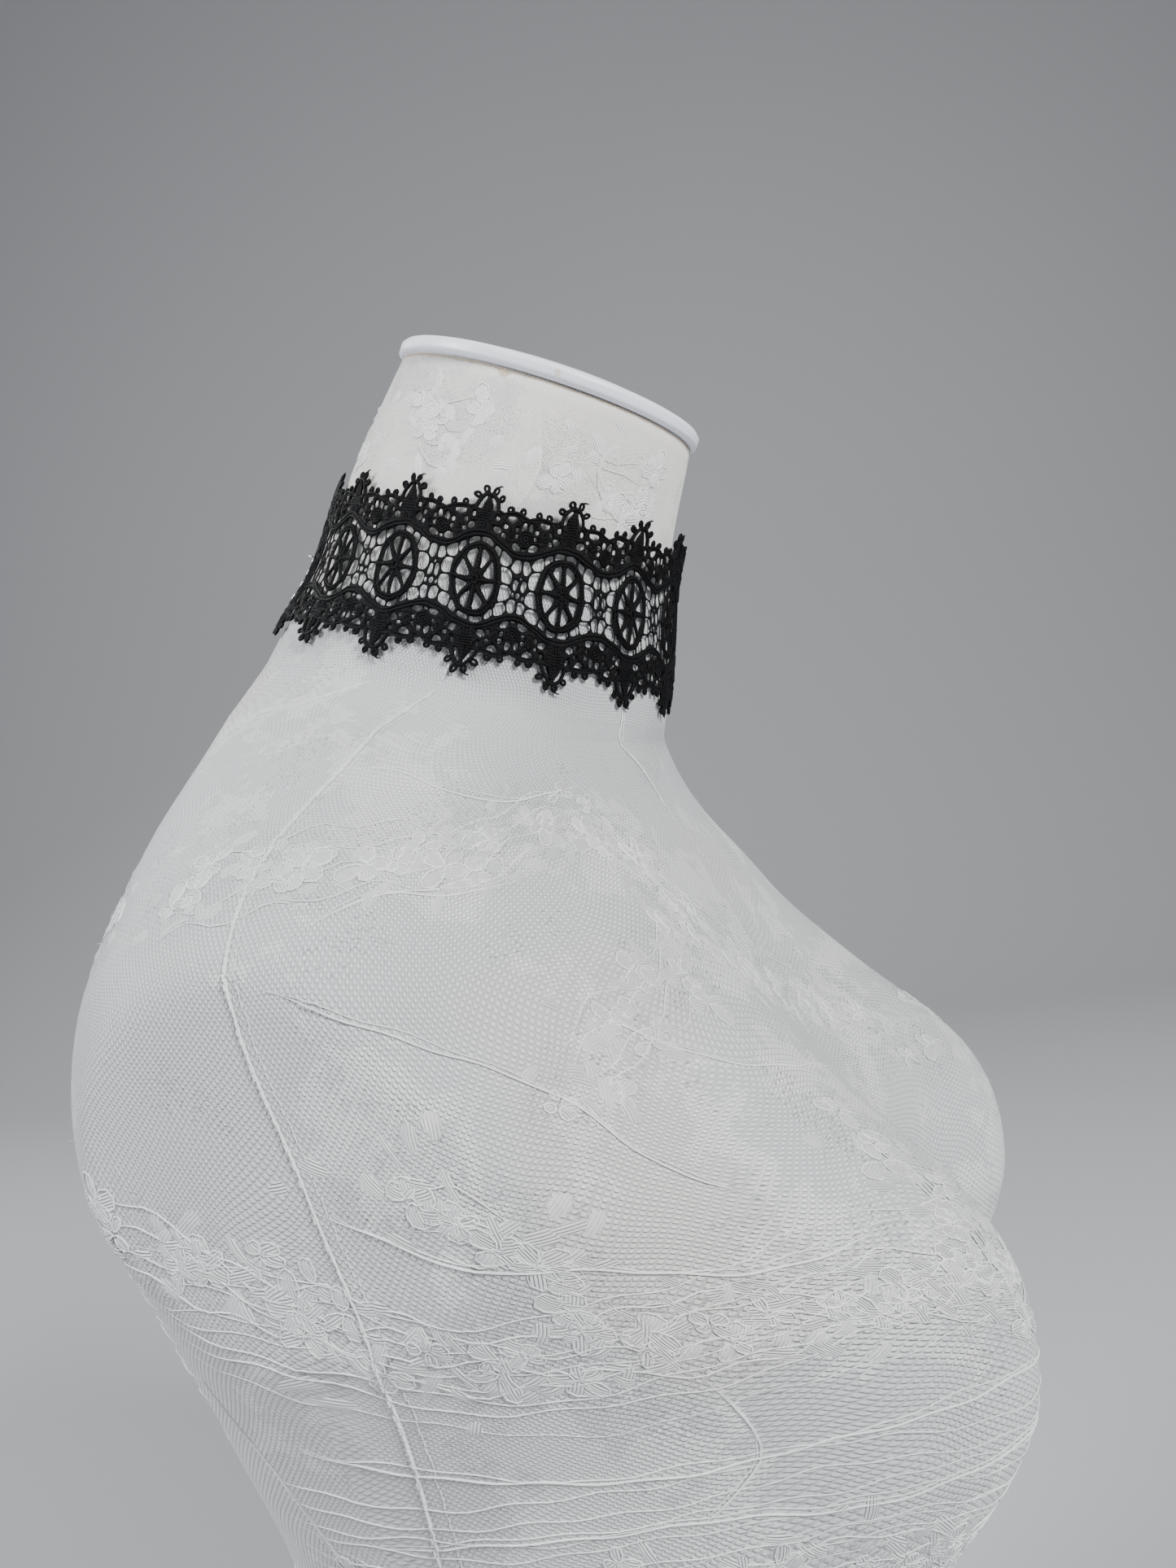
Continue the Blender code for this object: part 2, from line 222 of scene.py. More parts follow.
# %% [markdown]
# The form is lofted through measured sections. The same table and rule made the solid, so the finer
# skin here lies exactly on it: half widths, front and back radii, and how square each section is,
# joined by a curve that never overshoots. The bust is two soft lobes added to the front, and the
# arm holes are nearly flat plates.

# %% The form's shape
FORM_ROWS = (                # height, centre_y, half_width, front, back, tilt, squareness
    (0.0, 31.1, 151.8, 94.1, 96.2, 0.0, 2.1), (99.6, 28.8, 116.9, 81.3, 69.6, 0.0, 2.1),
    (160.5, 26.5, 121.3, 89.6, 72.4, 0.0, 2.1), (223.5, 23.7, 123.3, 102.8, 76.2, 0.0, 2.1),
    (275.0, 28.7, 137.3, 100.6, 79.3, 0.0, 2.2), (310.8, 31.5, 150.9, 102.1, 82.8, 0.0, 2.3),
    (345.2, 36.2, 162.8, 89.9, 87.0, 0.0, 2.3), (378.4, 41.6, 155.3, 80.8, 84.2, 0.0, 2.2),
    (411.2, 41.5, 127.5, 66.9, 78.7, 3.0, 2.1), (438.0, 37.5, 86.6, 59.5, 75.0, 10.0, 2.0),
    (452.5, 29.0, 58.9, 55.0, 73.6, 17.35, 2.0), (479.2, 20.6, 55.3, 52.0, 62.2, 17.35, 2.0),
    (505.9, 12.3, 52.0, 47.0, 56.6, 17.35, 2.0), (538.4, 2.5, 44.0, 48.8, 45.4, 25.0, 2.0))
FORM_MID_Y, TOP_HEIGHT = 9.0, FORM_ROWS[-1][0]
BUST_DEPTH, BUST_X, BUST_HEIGHT = 59.8, 89.2, 275.2
BUST_WIDTH, BUST_RISE, BUST_DROP, BUST_FALL = 54.2, 78.1, 63.5, 1.2
ARM_PLATE_X, ARM_PLATE_GIVE = 150.0, 0.08


def smooth_table(rows):
    """A function of one value or many that runs smoothly through the rows."""
    table = np.array(sorted(rows), float)
    x, y = table[:, 0], table[:, 1:]
    step = np.diff(x)
    slope = np.diff(y, axis=0) / step[:, None]
    tangent = np.zeros_like(y)
    for k in range(1, len(x) - 1):
        w1, w2 = 2 * step[k] + step[k - 1], step[k] + 2 * step[k - 1]
        same = slope[k - 1] * slope[k] > 0
        before, after = np.where(same, slope[k - 1:k + 1], 1.0)
        tangent[k] = np.where(same, (w1 + w2) / (w1 / before + w2 / after), 0.0)
    tangent[0], tangent[-1] = slope[0], slope[-1]

    def value(query):
        query = np.asarray(query, float)
        k = np.clip(np.searchsorted(x, query) - 1, 0, len(step) - 1)
        t, h = ((query - x[k]) / step[k])[..., None], step[k][..., None]
        return ((1 + 2 * t) * (1 - t) ** 2 * y[k] + t * (1 - t) ** 2 * h * tangent[k]
                + t * t * (3 - 2 * t) * y[k + 1] + t * t * (t - 1) * h * tangent[k + 1])
    return value


form_row = smooth_table(FORM_ROWS)


def form_points(height, angle, out=(0.0, 0.0, 0.0), lift=0.0):
    """Points of the form in mm; out is how far outside it at the side, front and back, lift how
    far above it along its tilted axis."""
    height, angle, lift = np.broadcast_arrays(np.asarray(height, float), angle, lift)
    centre_y, half_width, front, back, tilt, squareness = np.moveaxis(form_row(height), -1, 0)
    c, s = np.cos(angle), np.sin(angle)
    x = (half_width + out[0]) * np.sign(c) * np.abs(c) ** (2 / squareness)
    share = np.sign(s) * np.abs(s) ** (2 / squareness)
    along = np.where(s < 0, front + out[1], back + out[2]) * share
    tilt = np.radians(tilt)
    z = height + along * np.sin(tilt) + lift * np.cos(tilt)
    y = centre_y + along * np.cos(tilt) - lift * np.sin(tilt)
    rise = (z - BUST_HEIGHT) / np.where(z > BUST_HEIGHT, BUST_RISE, BUST_DROP)
    aside = (np.abs(x) - BUST_X) / BUST_WIDTH
    y = y - BUST_DEPTH * np.exp(-BUST_FALL * (rise ** 2 + aside ** 2)) * np.sqrt(np.maximum(-share, 0.0))
    flat_x = np.sign(x) * (ARM_PLATE_X + ARM_PLATE_GIVE * (np.abs(x) - ARM_PLATE_X))
    x = np.where(np.abs(x) > ARM_PLATE_X, flat_x, x)
    return np.stack((x, y - FORM_MID_Y, z), axis=-1)

# %% [markdown]
# A closed skin of quads needs only its rings. Its UV map is in metres, round and up, so that a knit
# drawn on it keeps one stitch size all over.

# %% Skins and pieces
def add_piece(name, mesh, finish, body, nodes):
    """A finished piece, in the place of its solids."""
    mesh.materials.clear()
    mesh.materials.append(finish)
    mesh.shade_smooth()
    piece = linked(name, mesh)
    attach(piece, body)
    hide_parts(*nodes)
    mesh.calc_loop_triangles()
    print(name, len(mesh.loop_triangles), "triangles")
    return piece


def ring_mesh(name, rings, cloth=None):
    """Closed body through rings of points in mm, the last one on top, with fans over both ends.

    cloth, for a UV map, is how many metres of it go round, and how many lie below each ring.
    """
    levels, around = rings.shape[:2]
    points = np.concatenate((rings.reshape(-1, 3), rings[[0, -1]].mean(axis=1)))
    index = np.arange(levels * around).reshape(levels, around)
    after = np.roll(index, -1, axis=1)
    quads = np.stack((index[:-1], after[:-1], after[1:], index[1:]), axis=-1).reshape(-1, 4)
    bottom, top = np.full(around, levels * around), np.full(around, levels * around + 1)
    fans = np.concatenate((np.stack((after[0], index[0], bottom), axis=-1),
                           np.stack((index[-1], after[-1], top), axis=-1)))
    mesh = bpy.data.meshes.new(name)
    mesh.from_pydata((points * MM).tolist(), [], quads.tolist() + fans.tolist())
    if cloth:
        u = (np.arange(around)[:, None] + (0, 1, 1, 0)) / around * cloth[0]
        v = np.stack((cloth[1][:-1], cloth[1][:-1], cloth[1][1:], cloth[1][1:]), axis=-1)[:, None]
        uv = np.zeros((len(mesh.loops), 2))
        uv[:quads.size] = np.stack(np.broadcast_arrays(u, v), axis=-1).reshape(-1, 2)
        mesh.uv_layers.new(name="UVMap").data.foreach_set("uv", uv.ravel())
    return mesh


def joined(name, meshes):
    """One mesh of several, with their attributes."""
    bm = bmesh.new()
    for part in meshes:
        bm.from_mesh(part)
    mesh = bpy.data.meshes.new(name)
    bm.to_mesh(mesh)
    bm.free()
    return mesh


def point_tree(points):
    """Finds the nearest of many points."""
    tree = KDTree(len(points))
    for number, point in enumerate(points):
        tree.insert(point, number)
    tree.balance()
    return tree

# %% [markdown]
# The cover is a stretch lace knit. Its finish draws only what is finer than a millimetre: a net of
# small loops whose rows bend with the stretch, with painted shade in the gaps between them, pinholes
# in clusters beside the flowers, painted dark as the shade inside them, and the satin of the petals,
# its ribs painted as sheen stripes. The petals, stems, seams and creases themselves are built further
# down; their stitching is coloured near white, partly the thread's own white and partly painted
# highlight on the raised thread.
# Under the cap's rim the knit is torn and shows the card of the form.

# %% The cover's finish
NET_ROUND, NET_UP, RIBS_ROUND, SATIN_ACROSS = 1650.0, 1950.0, 5200.0, 9500.0   # radians a metre
NECK_FROM, NECK_TO = 0.468, 0.496        # heights between which the net gives way to fine ribs
PINHOLES, PINHOLE_SLANT = (520.0, 1150.0, 1.0), 0.5
TEAR_AT, TEAR_TOP, TEAR_HALF, TEAR_FRAY = 0.370, 0.5384, (0.0062, 0.0034), 0.0012
cover = Finish("cover_knit", Sheen_Weight=0.2, Sheen_Roughness=0.5)
cloth = cover.add("ShaderNodeUVMap")
place = cover.object_place()
drawn = cover.mix(0.035, cloth, cover.noise(place, 11.0).out("Color"))
net_u, net_v, _ = cover.axes(drawn)
cloth_u, cloth_v, _ = cover.axes(cloth)
on_neck = cover.ramp(cover.axes(place)[2], NECK_FROM, NECK_TO)
stitched = cover.attribute("stitched")
garland = cover.ramp(cover.attribute("garland"), 0.25, 0.75)

loop_rise, loop_fall = ((net_u * NET_ROUND + net_v * (way * NET_UP)).math("SINE").math("ABSOLUTE")
                        for way in (1, -1))
diamond = cover.ramp(loop_rise * loop_fall, 0.0, 0.75)
loops = cover.mix(on_neck, diamond, (net_u * RIBS_ROUND).wave())
dense = cover.ramp(cover.noise(place, 24.0, 6.0, 0.72), 0.52, 0.545)
open_work = cover.ramp(cover.noise(place, 42.0), 0.57, 0.62) * (1 - on_neck)
slanted = cover.add("ShaderNodeMapping", {"Vector": drawn, "Rotation": (0.0, 0.0, PINHOLE_SLANT),
                                          "Scale": PINHOLES})
dashes = cover.add("ShaderNodeTexVoronoi", {"Vector": slanted, "Scale": 1.0, "Randomness": 0.5})
clusters = cover.ramp(cover.noise(place, 130.0), 0.46, 0.54) * garland
# Painted shade: the pinholes are coloured dark, for the shade inside them.
shaded_pinholes = cover.ramp(dashes, 0.16, 0.34, 1.0, 0.0) * open_work.math("MAXIMUM", clusters)
# The satin's ribs across each petal: a bump, and in the tone painted sheen stripes.
satin_ribs_and_sheen = (cover.attribute("petal_across") * SATIN_ACROSS).wave()
fluff = cover.noise(place, 1400.0, 2.0, 0.7)
beige = cover.ramp(cover.noise(place, 9.0, 1.0), 0.60, 0.72)
fray = cover.noise(place, 420.0) * TEAR_FRAY
tear = ((cloth_u - TEAR_AT) / TEAR_HALF[0]) ** 2 + ((TEAR_TOP - cloth_v + fray) / TEAR_HALF[1]) ** 2
torn = cover.ramp(tear, 0.75, 1.0, 1.0, 0.0).math(
    "MAXIMUM", cover.ramp(cloth_v + fray, TEAR_TOP - 0.0004, TEAR_TOP))

# Painted shade: the gaps between the knit's loops are coloured grey, as shade falls in them.
shaded_gaps = (1 - loops) * (0.78 - on_neck * 0.68) * (1 - dense * 0.6) * (1 - stitched)
tone = cover.mix(on_neck, shade(0.61, 0.62, 0.625), shade(0.77, 0.755, 0.72))
# Painted highlight: the stitching's near-white share is partly the thread's own white and partly painted
# highlight on the raised thread, with painted sheen stripes along the satin's ribs.
for share, colour in (
        (beige * 0.45, (0.80, 0.72, 0.64)), (dense * 0.45, (0.90, 0.90, 0.90)),
        (shaded_gaps, (0.42, 0.43, 0.44)), (shaded_pinholes * (1 - stitched) * 0.75, (0.25, 0.25, 0.26)),
        (stitched * (0.22 + satin_ribs_and_sheen * 0.50), (0.97, 0.975, 0.98)), (torn * 0.85, (0.56, 0.44, 0.33))):
    tone = cover.mix(share, tone, shade(*colour))
raised = (loops * (1 - stitched) * (0.5 + dense * 0.3 - on_neck * 0.3)
          + satin_ribs_and_sheen * stitched * (0.8 - on_neck * 0.4) + fluff * (0.25 + garland * 0.7))
cover_knit = cover.dress(Base_Color=tone, Roughness=0.82 - stitched * (0.15 + satin_ribs_and_sheen * 0.2),
                         Normal=cover.bump(raised, 0.0007, 0.9))

# %% [markdown]
# Every centre line in this scene is a chain of points with a radius at each, and a Geometry Nodes
# tree sweeps it. It turns each chain into a curve, sweeps a small polygon along it, and sets copies
# along a line, one for each repeat of the lace. A point keeps how far along its cord it lies, so
# that a finish can twist with the thread.

# %% Centre lines and the tree that sweeps them
class Cords:
    """Centre lines as chains of points (across, up, out) with a radius at each."""

    def __init__(self):
        self.points, self.radii, self.edges = [], [], []

    def run(self, line, radius, closed=False):
        start, count = len(self.points), len(line)
        self.points += [tuple(p) for p in line]
        self.radii += np.broadcast_to(radius, count).tolist()
        self.edges += [(start + k, start + (k + 1) % count) for k in range(count if closed else count - 1)]

    def mirrored(self, line, radius):
        """The same cord in all four quarters of a repeat."""
        for across in (1, -1):
            for rise in (1, -1):
                self.run([(x * across, y * rise, out) for x, y, out in line], radius)


def cord_tree():
    tree = bpy.data.node_groups.new("sweep_and_repeat", "GeometryNodeTree")
    face = tree.interface
    face.new_socket("Centre lines", in_out="INPUT", socket_type="NodeSocketGeometry")
    inputs = {label: face.new_socket(label, in_out="INPUT", socket_type="NodeSocket" + kind).identifier
              for label, kind in (("Repeats", "Int"), ("Pitch", "Float"), ("First", "Float"),
                                  ("Sides", "Int"), ("Finish", "Material"))}
    face.new_socket("Swept", in_out="OUTPUT", socket_type="NodeSocketGeometry")

    def node(kind, sockets, **settings):
        """New node, returned as its outputs."""
        made = tree.nodes.new(kind)
        for name, value in settings.items():
            setattr(made, name, value)
        for name, value in sockets.items():
            if isinstance(value, bpy.types.NodeSocket):
                tree.links.new(value, made.inputs[name])
            else:
                made.inputs[name].default_value = value
        return made.outputs

    given = node("NodeGroupInput", {})
    curves = node("GeometryNodeMeshToCurve", {"Mesh": given["Centre lines"]})[0]
    radius = node("GeometryNodeInputNamedAttribute", {"Name": "thread_radius"},
                  data_type="FLOAT")["Attribute"]
    length = node("GeometryNodeSplineParameter", {})["Length"]
    marked = node("GeometryNodeStoreNamedAttribute", {"Geometry": curves, "Name": "along", "Value": length},
                  data_type="FLOAT", domain="POINT")[0]
    profile = node("GeometryNodeCurvePrimitiveCircle", {"Resolution": given["Sides"], "Radius": 1.0})[0]
    swept = node("GeometryNodeCurveToMesh", {"Curve": marked, "Profile Curve": profile, "Scale": radius,
                                             "Fill Caps": True})[0]
    step = node("ShaderNodeCombineXYZ", {"X": given["Pitch"]})[0]
    first = node("ShaderNodeCombineXYZ", {"X": given["First"]})[0]
    line = node("GeometryNodeMeshLine", {"Count": given["Repeats"], "Start Location": first,
                                         "Offset": step})[0]
    copies = node("GeometryNodeInstanceOnPoints", {"Points": line, "Instance": swept})[0]
    real = node("GeometryNodeRealizeInstances", {"Geometry": copies})[0]
    finished = node("GeometryNodeSetMaterial", {"Geometry": real, "Material": given["Finish"]})[0]
    node("NodeGroupOutput", {0: finished})
    return tree, inputs


sweep_tree, sweep_inputs = cord_tree()


def sweep_cords(name, cords, finish, sides, repeats=1, pitch=0.0, first=0.0):
    """Plain mesh of the swept and repeated cords."""
    lines = bpy.data.meshes.new(name)
    lines.from_pydata(cords.points, cords.edges, [])
    lines.attributes.new("thread_radius", "FLOAT", "POINT").data.foreach_set("value", cords.radii)
    holder = linked(name, lines)
    tool = holder.modifiers.new("sweep", "NODES")
    tool.node_group = sweep_tree
    for label, value in (("Sides", sides), ("Repeats", repeats), ("Pitch", pitch), ("First", first),
                         ("Finish", finish)):
        tool[sweep_inputs[label]] = value
    seen = holder.evaluated_get(bpy.context.evaluated_depsgraph_get())
    mesh = bpy.data.meshes.new_from_object(seen)
    bpy.data.objects.remove(holder)
    return mesh

# %% [markdown]
# The knit's flowers are laid as a garland is: along a few lines on the form, each a satin lens for a
# petal with a cord round it, with leaves, stems and loose stitches between. All of it is worked in
# places on the form (angle round it, height), so it lies on the skin whatever the form's shape.

# %% Flowers, seams and creases on the cover
rng = np.random.default_rng(11)
RIM_POINTS, RIM_DEPTH, SATIN_LIFT, SATIN_AT, SATIN_BACK = 8, -0.05, 0.50, 0.55, -0.3
RIM_CORD, RIM_CORD_LIFT = 0.24, 0.10
NEAR_GARLANDS = 9            # the first rows, on the side that the picture shows
FLOWERS_APART, LEAVES = (11.0, 6.4), (2, 4)              # elsewhere, and on the near garlands
FLOWER_SPREAD, FLOWER_SIZE = 4.5, (3.6, 6.4)
LEAF_SPREAD, LEAF_LENGTH, LEAF_WIDTH = 6.5, (4.0, 9.5), (2.4, 4.8)
STEM_ROWS, STEM_RADIUS = (-8.0, -3.0, 3.0, 8.0), 0.22
STRETCH_ROWS, STRETCH_SPREAD, STRETCH_RADIUS = np.arange(-14.0, 15.0, 4.0), 1.2, (0.10, 0.20)
CREASE_CORDS = ((0.36, 0.0, 0.6, 0.15), (0.20, 1.3, 0.7, 0.09))        # radius, mm up, wander, lift
SEAM_RADIUS, SEAM_STITCHES = 0.46, ((0.24, 0.0, 0.42), (0.16, 2.6, 0.06))       # radius, aside, lift
STITCH_PITCH = 1.9
FUZZ_ENDS, FUZZ_RADIUS, FUZZ_HEIGHTS = 230, 0.04, (180, 440)
GARLANDS = (                 # each line's corners: degrees round the form, mm up
    ((-193, 401), (-181, 409), (-165, 409), (-147, 407), (-135, 415), (-118, 411), (-113, 393),
     (-110, 374), (-94, 355), (-79, 335), (-72, 316)),
    ((-141, 356), (-130, 369), (-114, 378)),
    ((-206, 339), (-189, 330), (-176, 317), (-165, 309), (-152, 307), (-139, 310), (-122, 302),
     (-108, 292), (-96, 288)),
    ((-166, 343), (-158, 339), (-153, 331), (-154, 320)),
    ((-119, 336), (-123, 305), (-126, 292)),
    ((-188, 250), (-170, 240), (-150, 252), (-128, 236), (-104, 246), (-84, 232)),
    ((-150, 519), (-128, 512), (-110, 519)), ((-204, 526), (-188, 516), (-176, 522)),
    ((-180, 205), (-160, 160), (-132, 178), (-100, 150), (-70, 172)),
    ((0, 404), (14, 396), (35, 388), (60, 400), (90, 392), (120, 404), (150, 396)),
    ((-66, 330), (-48, 318), (-30, 330), (-10, 316), (10, 322), (40, 306), (80, 318), (120, 306)),
    ((-60, 240), (-30, 225), (0, 240), (40, 222), (90, 236), (140, 220), (170, 236)),
    ((-50, 150), (-10, 170), (30, 150), (80, 168), (130, 150), (165, 165)),
    ((20, 520), (60, 514), (100, 522), (140, 515)))
SEAM_LINES = (
    ((-171.5, 461.5), (-175, 446), (-174, 431), (-178, 415), (-180, 402), (-177, 380), (-175.5, 359),
     (-174.5, 336), (-174, 313), (-176, 280), (-178, 250)),
    ((-8, 461), (-5, 446), (-6, 431), (-2, 415), (0, 402), (-3, 380), (-4.5, 359), (-6, 313), (-2, 250)))
CREASES = (
    ((-205, 441), (-194, 447), (-182, 457)),
    ((-175, 430), (-165, 430), (-156, 427), (-139, 419), (-120, 424)),
    ((-172, 385), (-162, 379), (-151, 368), (-141, 356), (-139, 344), (-137, 337), (-134, 329)),
    ((-175, 341), (-162, 330), (-152, 326), (-145, 320), (-139, 317), (-128, 318)),
    ((-185, 287), (-178, 284), (-164, 278), (-146, 279), (-128, 283), (-112, 276)),
    ((-116, 404), (-104, 380), (-88, 360), (-80, 340)),
    ((-180, 262), (-160, 268), (-140, 262), (-116, 268)),
    ((-170, 395), (-160, 402), (-146, 398), (-134, 402)),
    ((-136, 372), (-124, 352), (-104, 340), (-98, 330)),
    ((-120, 466), (-112, 440), (-98, 425), (-92, 400)),
    ((-186, 226), (-160, 216), (-130, 222), (-100, 212)),
    ((-200, 300), (-190, 270), (-186, 240)), ((-150, 300), (-148, 280), (-158, 262)),
    ((-30, 420), (0, 380), (30, 360), (70, 366), (120, 352)),
    ((-40, 290), (10, 280), (80, 288), (150, 276)),
    ((-160, 528), (-154, 512), (-160, 500)), ((-130, 530), (-138, 515), (-126, 502)))
STRETCHED = (                # bundles of threads pulled long by the stretch
    ((-200, 322), (-182, 318), (-166, 304), (-148, 306), (-130, 312), (-112, 302)),
    ((-196, 262), (-170, 258), (-146, 266), (-120, 256), (-90, 262)),
    ((20, 300), (70, 290), (120, 300), (160, 310)))


def skin_place(around, height, lift=0.0):
    """Points of the form in mm at angles in degrees and heights, stood off by lift along the normal."""
    angle, height, lift = np.broadcast_arrays(np.radians(around), np.asarray(height, float), lift)
    here = form_points(height, angle)
    normal = np.cross(form_points(height, angle + 0.004) - here, form_points(height + 0.5, angle) - here)
    return here + normal / np.linalg.norm(normal, axis=-1, keepdims=True) * lift[..., None]


def skin_scale(around, height):
    """How many degrees round and mm of height one mm of skin takes up there."""
    here, round_it, up_it = skin_place(np.array((around, around + 0.5, around)),
                                       np.array((height, height, height + 0.5)))
    return np.array((0.5 / np.linalg.norm(round_it - here), 0.5 / np.linalg.norm(up_it - here)))


def cut_corners(loop, times, closed=True, cut_at=0.25):
    """Smooth a line: each pass replaces a corner by two points, cut_at of the way along its sides."""
    points = np.array(loop, float)
    for _ in range(times):
        after = np.roll(points, -1, axis=0)
        cut = np.stack((points * (1 - cut_at) + after * cut_at,
                        points * cut_at + after * (1 - cut_at)), axis=1)
        cut = (cut if closed else cut[:-1]).reshape(-1, 2)
        points = cut if closed else np.concatenate((points[:1], cut[1:-1], points[-1:]))
    return points


class SkinLine:
    """A smooth line on the form, read at so many mm along it."""

    def __init__(self, corners):
        self.flat = cut_corners(corners, 4, closed=False)
        solid = skin_place(self.flat[:, 0], self.flat[:, 1])
        self.run = np.concatenate(([0.0], np.cumsum(np.linalg.norm(np.diff(solid, axis=0), axis=1))))
        self.length = float(self.run[-1])

    def read(self, distance):
        return np.stack([np.interp(distance, self.run, self.flat[:, k]) for k in (0, 1)], axis=-1)


class Embroidery:
    """Lenses and cords on the skin, gathered as one mesh."""

    def __init__(self):
        self.points, self.faces, self.across, self.cords = [], [], [], Cords()
        self.garland_points = []

    def petal(self, root, scale, heading, length, width, corded=True):
        """A satin lens from root in the heading's direction, with a cord round it."""
        turn = 2 * math.pi * np.arange(RIM_POINTS) / RIM_POINTS
        far = 0.5 - 0.5 * np.cos(turn)
        along = np.append(far, (SATIN_AT, SATIN_AT)) * length
        aside = np.append(np.sin(turn) * (0.35 + 0.25 * far), (0.0, 0.0)) * width
        c, s = math.cos(heading), math.sin(heading)
        around = root[0] + (along * c - aside * s) * scale[0]
        height = root[1] + (along * s + aside * c) * scale[1]
        lifts = np.array([RIM_DEPTH] * RIM_POINTS + [SATIN_LIFT, SATIN_BACK])
        start = len(self.points)
        self.points += skin_place(around, height, lifts).tolist()
        self.across += aside.tolist()
        for k in range(RIM_POINTS):
            after = (k + 1) % RIM_POINTS
            self.faces += [(start + k, start + after, start + RIM_POINTS),
                           (start + after, start + k, start + RIM_POINTS + 1)]
        if corded:
            rim = skin_place(around[:RIM_POINTS], height[:RIM_POINTS], RIM_CORD_LIFT)
            self.cords.run(rim, RIM_CORD, True)

    def flower(self, place, scale, size):
        petals, begin = int(rng.integers(3, 6)), rng.uniform(0, 2 * math.pi)
        for k in range(petals):
            heading = begin + 2 * math.pi * (k + rng.uniform(-0.3, 0.3)) / petals
            root = place + scale * rng.uniform(-0.2, 1.0) * np.array((math.cos(heading), math.sin(heading)))
            self.petal(root, scale, heading, size * rng.uniform(0.6, 1.3), size * rng.uniform(0.5, 1.0))

    def stem(self, line, radius, shift, wander, lift):
        """Cord along a line, so many mm above it, wandering by so many mm, thin at its ends."""
        distance = np.arange(0.0, line.length, 3.5)
        flat = line.read(distance)
        scale = skin_scale(*flat[len(flat) // 2])
        phase = rng.uniform(0, 6.28, 2)
        sway = np.sin(distance * 0.11 + phase[0]) + 0.6 * np.sin(distance * 0.31 + phase[1])
        taper = np.clip(np.minimum(distance, distance[-1] - distance) / 14.0, 0.25, 1.0)
        self.cords.run(skin_place(flat[:, 0], flat[:, 1] + (shift + sway * wander) * scale[1],
                                  lift * taper), radius * taper)

    def fuzz(self, place):
        """A loose fibre end that lifts off the knit and curls over."""
        scale, heading = skin_scale(*place), rng.uniform(0, 2 * math.pi)
        reach = rng.uniform(1.5, 3.6) * np.array((0.0, 0.4, 1.0))
        curl = heading + np.array((0.0, 0.3, 0.9)) * rng.uniform(-1, 1)
        lifts = np.array((-0.05, 0.5, rng.uniform(0.5, 1.5)))
        self.cords.run(skin_place(place[0] + reach * np.cos(curl) * scale[0],
                                  place[1] + reach * np.sin(curl) * scale[1], lifts), FUZZ_RADIUS)

    def stitches(self, line, radius, shift, lift):
        """Short cords end to end along a line, so many mm beside it."""
        scale = skin_scale(*line.read(line.length / 2))
        for first in np.arange(0.0, line.length - STITCH_PITCH, STITCH_PITCH):
            ends = line.read(first + np.array((0.0, 0.5, 1.0)) * STITCH_PITCH * 0.75)
            aside = shift + rng.uniform(-0.25, 0.25)
            self.cords.run(skin_place(ends[:, 0] + aside * scale[0], ends[:, 1], lift), radius)


def work_cover():
    work = Embroidery()
    for number, corners in enumerate(GARLANDS):
        line, near = SkinLine(corners), number < NEAR_GARLANDS
        work.garland_points += skin_place(*line.read(np.arange(0.0, line.length, 3.0)).T).tolist()
        for first in np.arange(2.0, line.length, FLOWERS_APART[near]):
            middle = line.read(first + rng.uniform(-2, 2))
            scale = skin_scale(*middle)
            work.flower(middle + scale * rng.normal(0, FLOWER_SPREAD, 2), scale, rng.uniform(*FLOWER_SIZE))
            for _ in range(LEAVES[near]):
                work.petal(middle + scale * rng.normal(0, LEAF_SPREAD, 2), scale,
                           rng.uniform(0, 2 * math.pi), rng.uniform(*LEAF_LENGTH),
                           rng.uniform(*LEAF_WIDTH), corded=False)
        for row in STEM_ROWS:
            work.stem(line, STEM_RADIUS, row, 2.2, 0.14)
    for line in map(SkinLine, STRETCHED):
        for row in STRETCH_ROWS:
            work.stem(line, rng.uniform(*STRETCH_RADIUS), row + rng.normal(0, STRETCH_SPREAD), 0.9, 0.13)
    for line in map(SkinLine, CREASES):
        for cord in CREASE_CORDS:
            work.stem(line, *cord)
    for line in map(SkinLine, SEAM_LINES):
        work.stem(line, SEAM_RADIUS, 0.0, 0.0, 0.0)
        for row in SEAM_STITCHES:
            work.stitches(line, *row)
    for _ in range(FUZZ_ENDS):
        work.fuzz((rng.uniform(-180, 180), rng.uniform(*FUZZ_HEIGHTS)))
    return work


cover_work = work_cover()
print(len(cover_work.faces), "faces of petals,", len(cover_work.cords.points), "points of cord on the cover")


def embroidery_mesh(work):
    """The petals and the swept cords, each point marked as stitched."""
    petals = bpy.data.meshes.new("petals")
    petals.from_pydata(work.points, [], work.faces)
    across = petals.attributes.new("petal_across", "FLOAT", "POINT")
    across.data.foreach_set("value", [a * MM for a in work.across])
    ends = np.empty(len(petals.edges) * 2, int)
    petals.edges.foreach_get("vertices", ends)
    on_rim = (ends.reshape(-1, 2) % (RIM_POINTS + 2) < RIM_POINTS).all(axis=1)
    petals.attributes.new("sharp_edge", "BOOLEAN", "EDGE").data.foreach_set("value", on_rim)
    swept = sweep_cords("cover_cords", work.cords, cover_knit, 3)
    for part in (petals, swept):
        part.transform(Matrix.Scale(MM, 4))
        mark = part.attributes.new("stitched", "FLOAT", "POINT")
        mark.data.foreach_set("value", [1.0] * len(part.vertices))
    return petals, swept


# %% [markdown]
# The covered form is the skin through the form's own rings, with the petals and cords joined to it.
# Its garland attribute says how near the flowers are, for the knit between them.

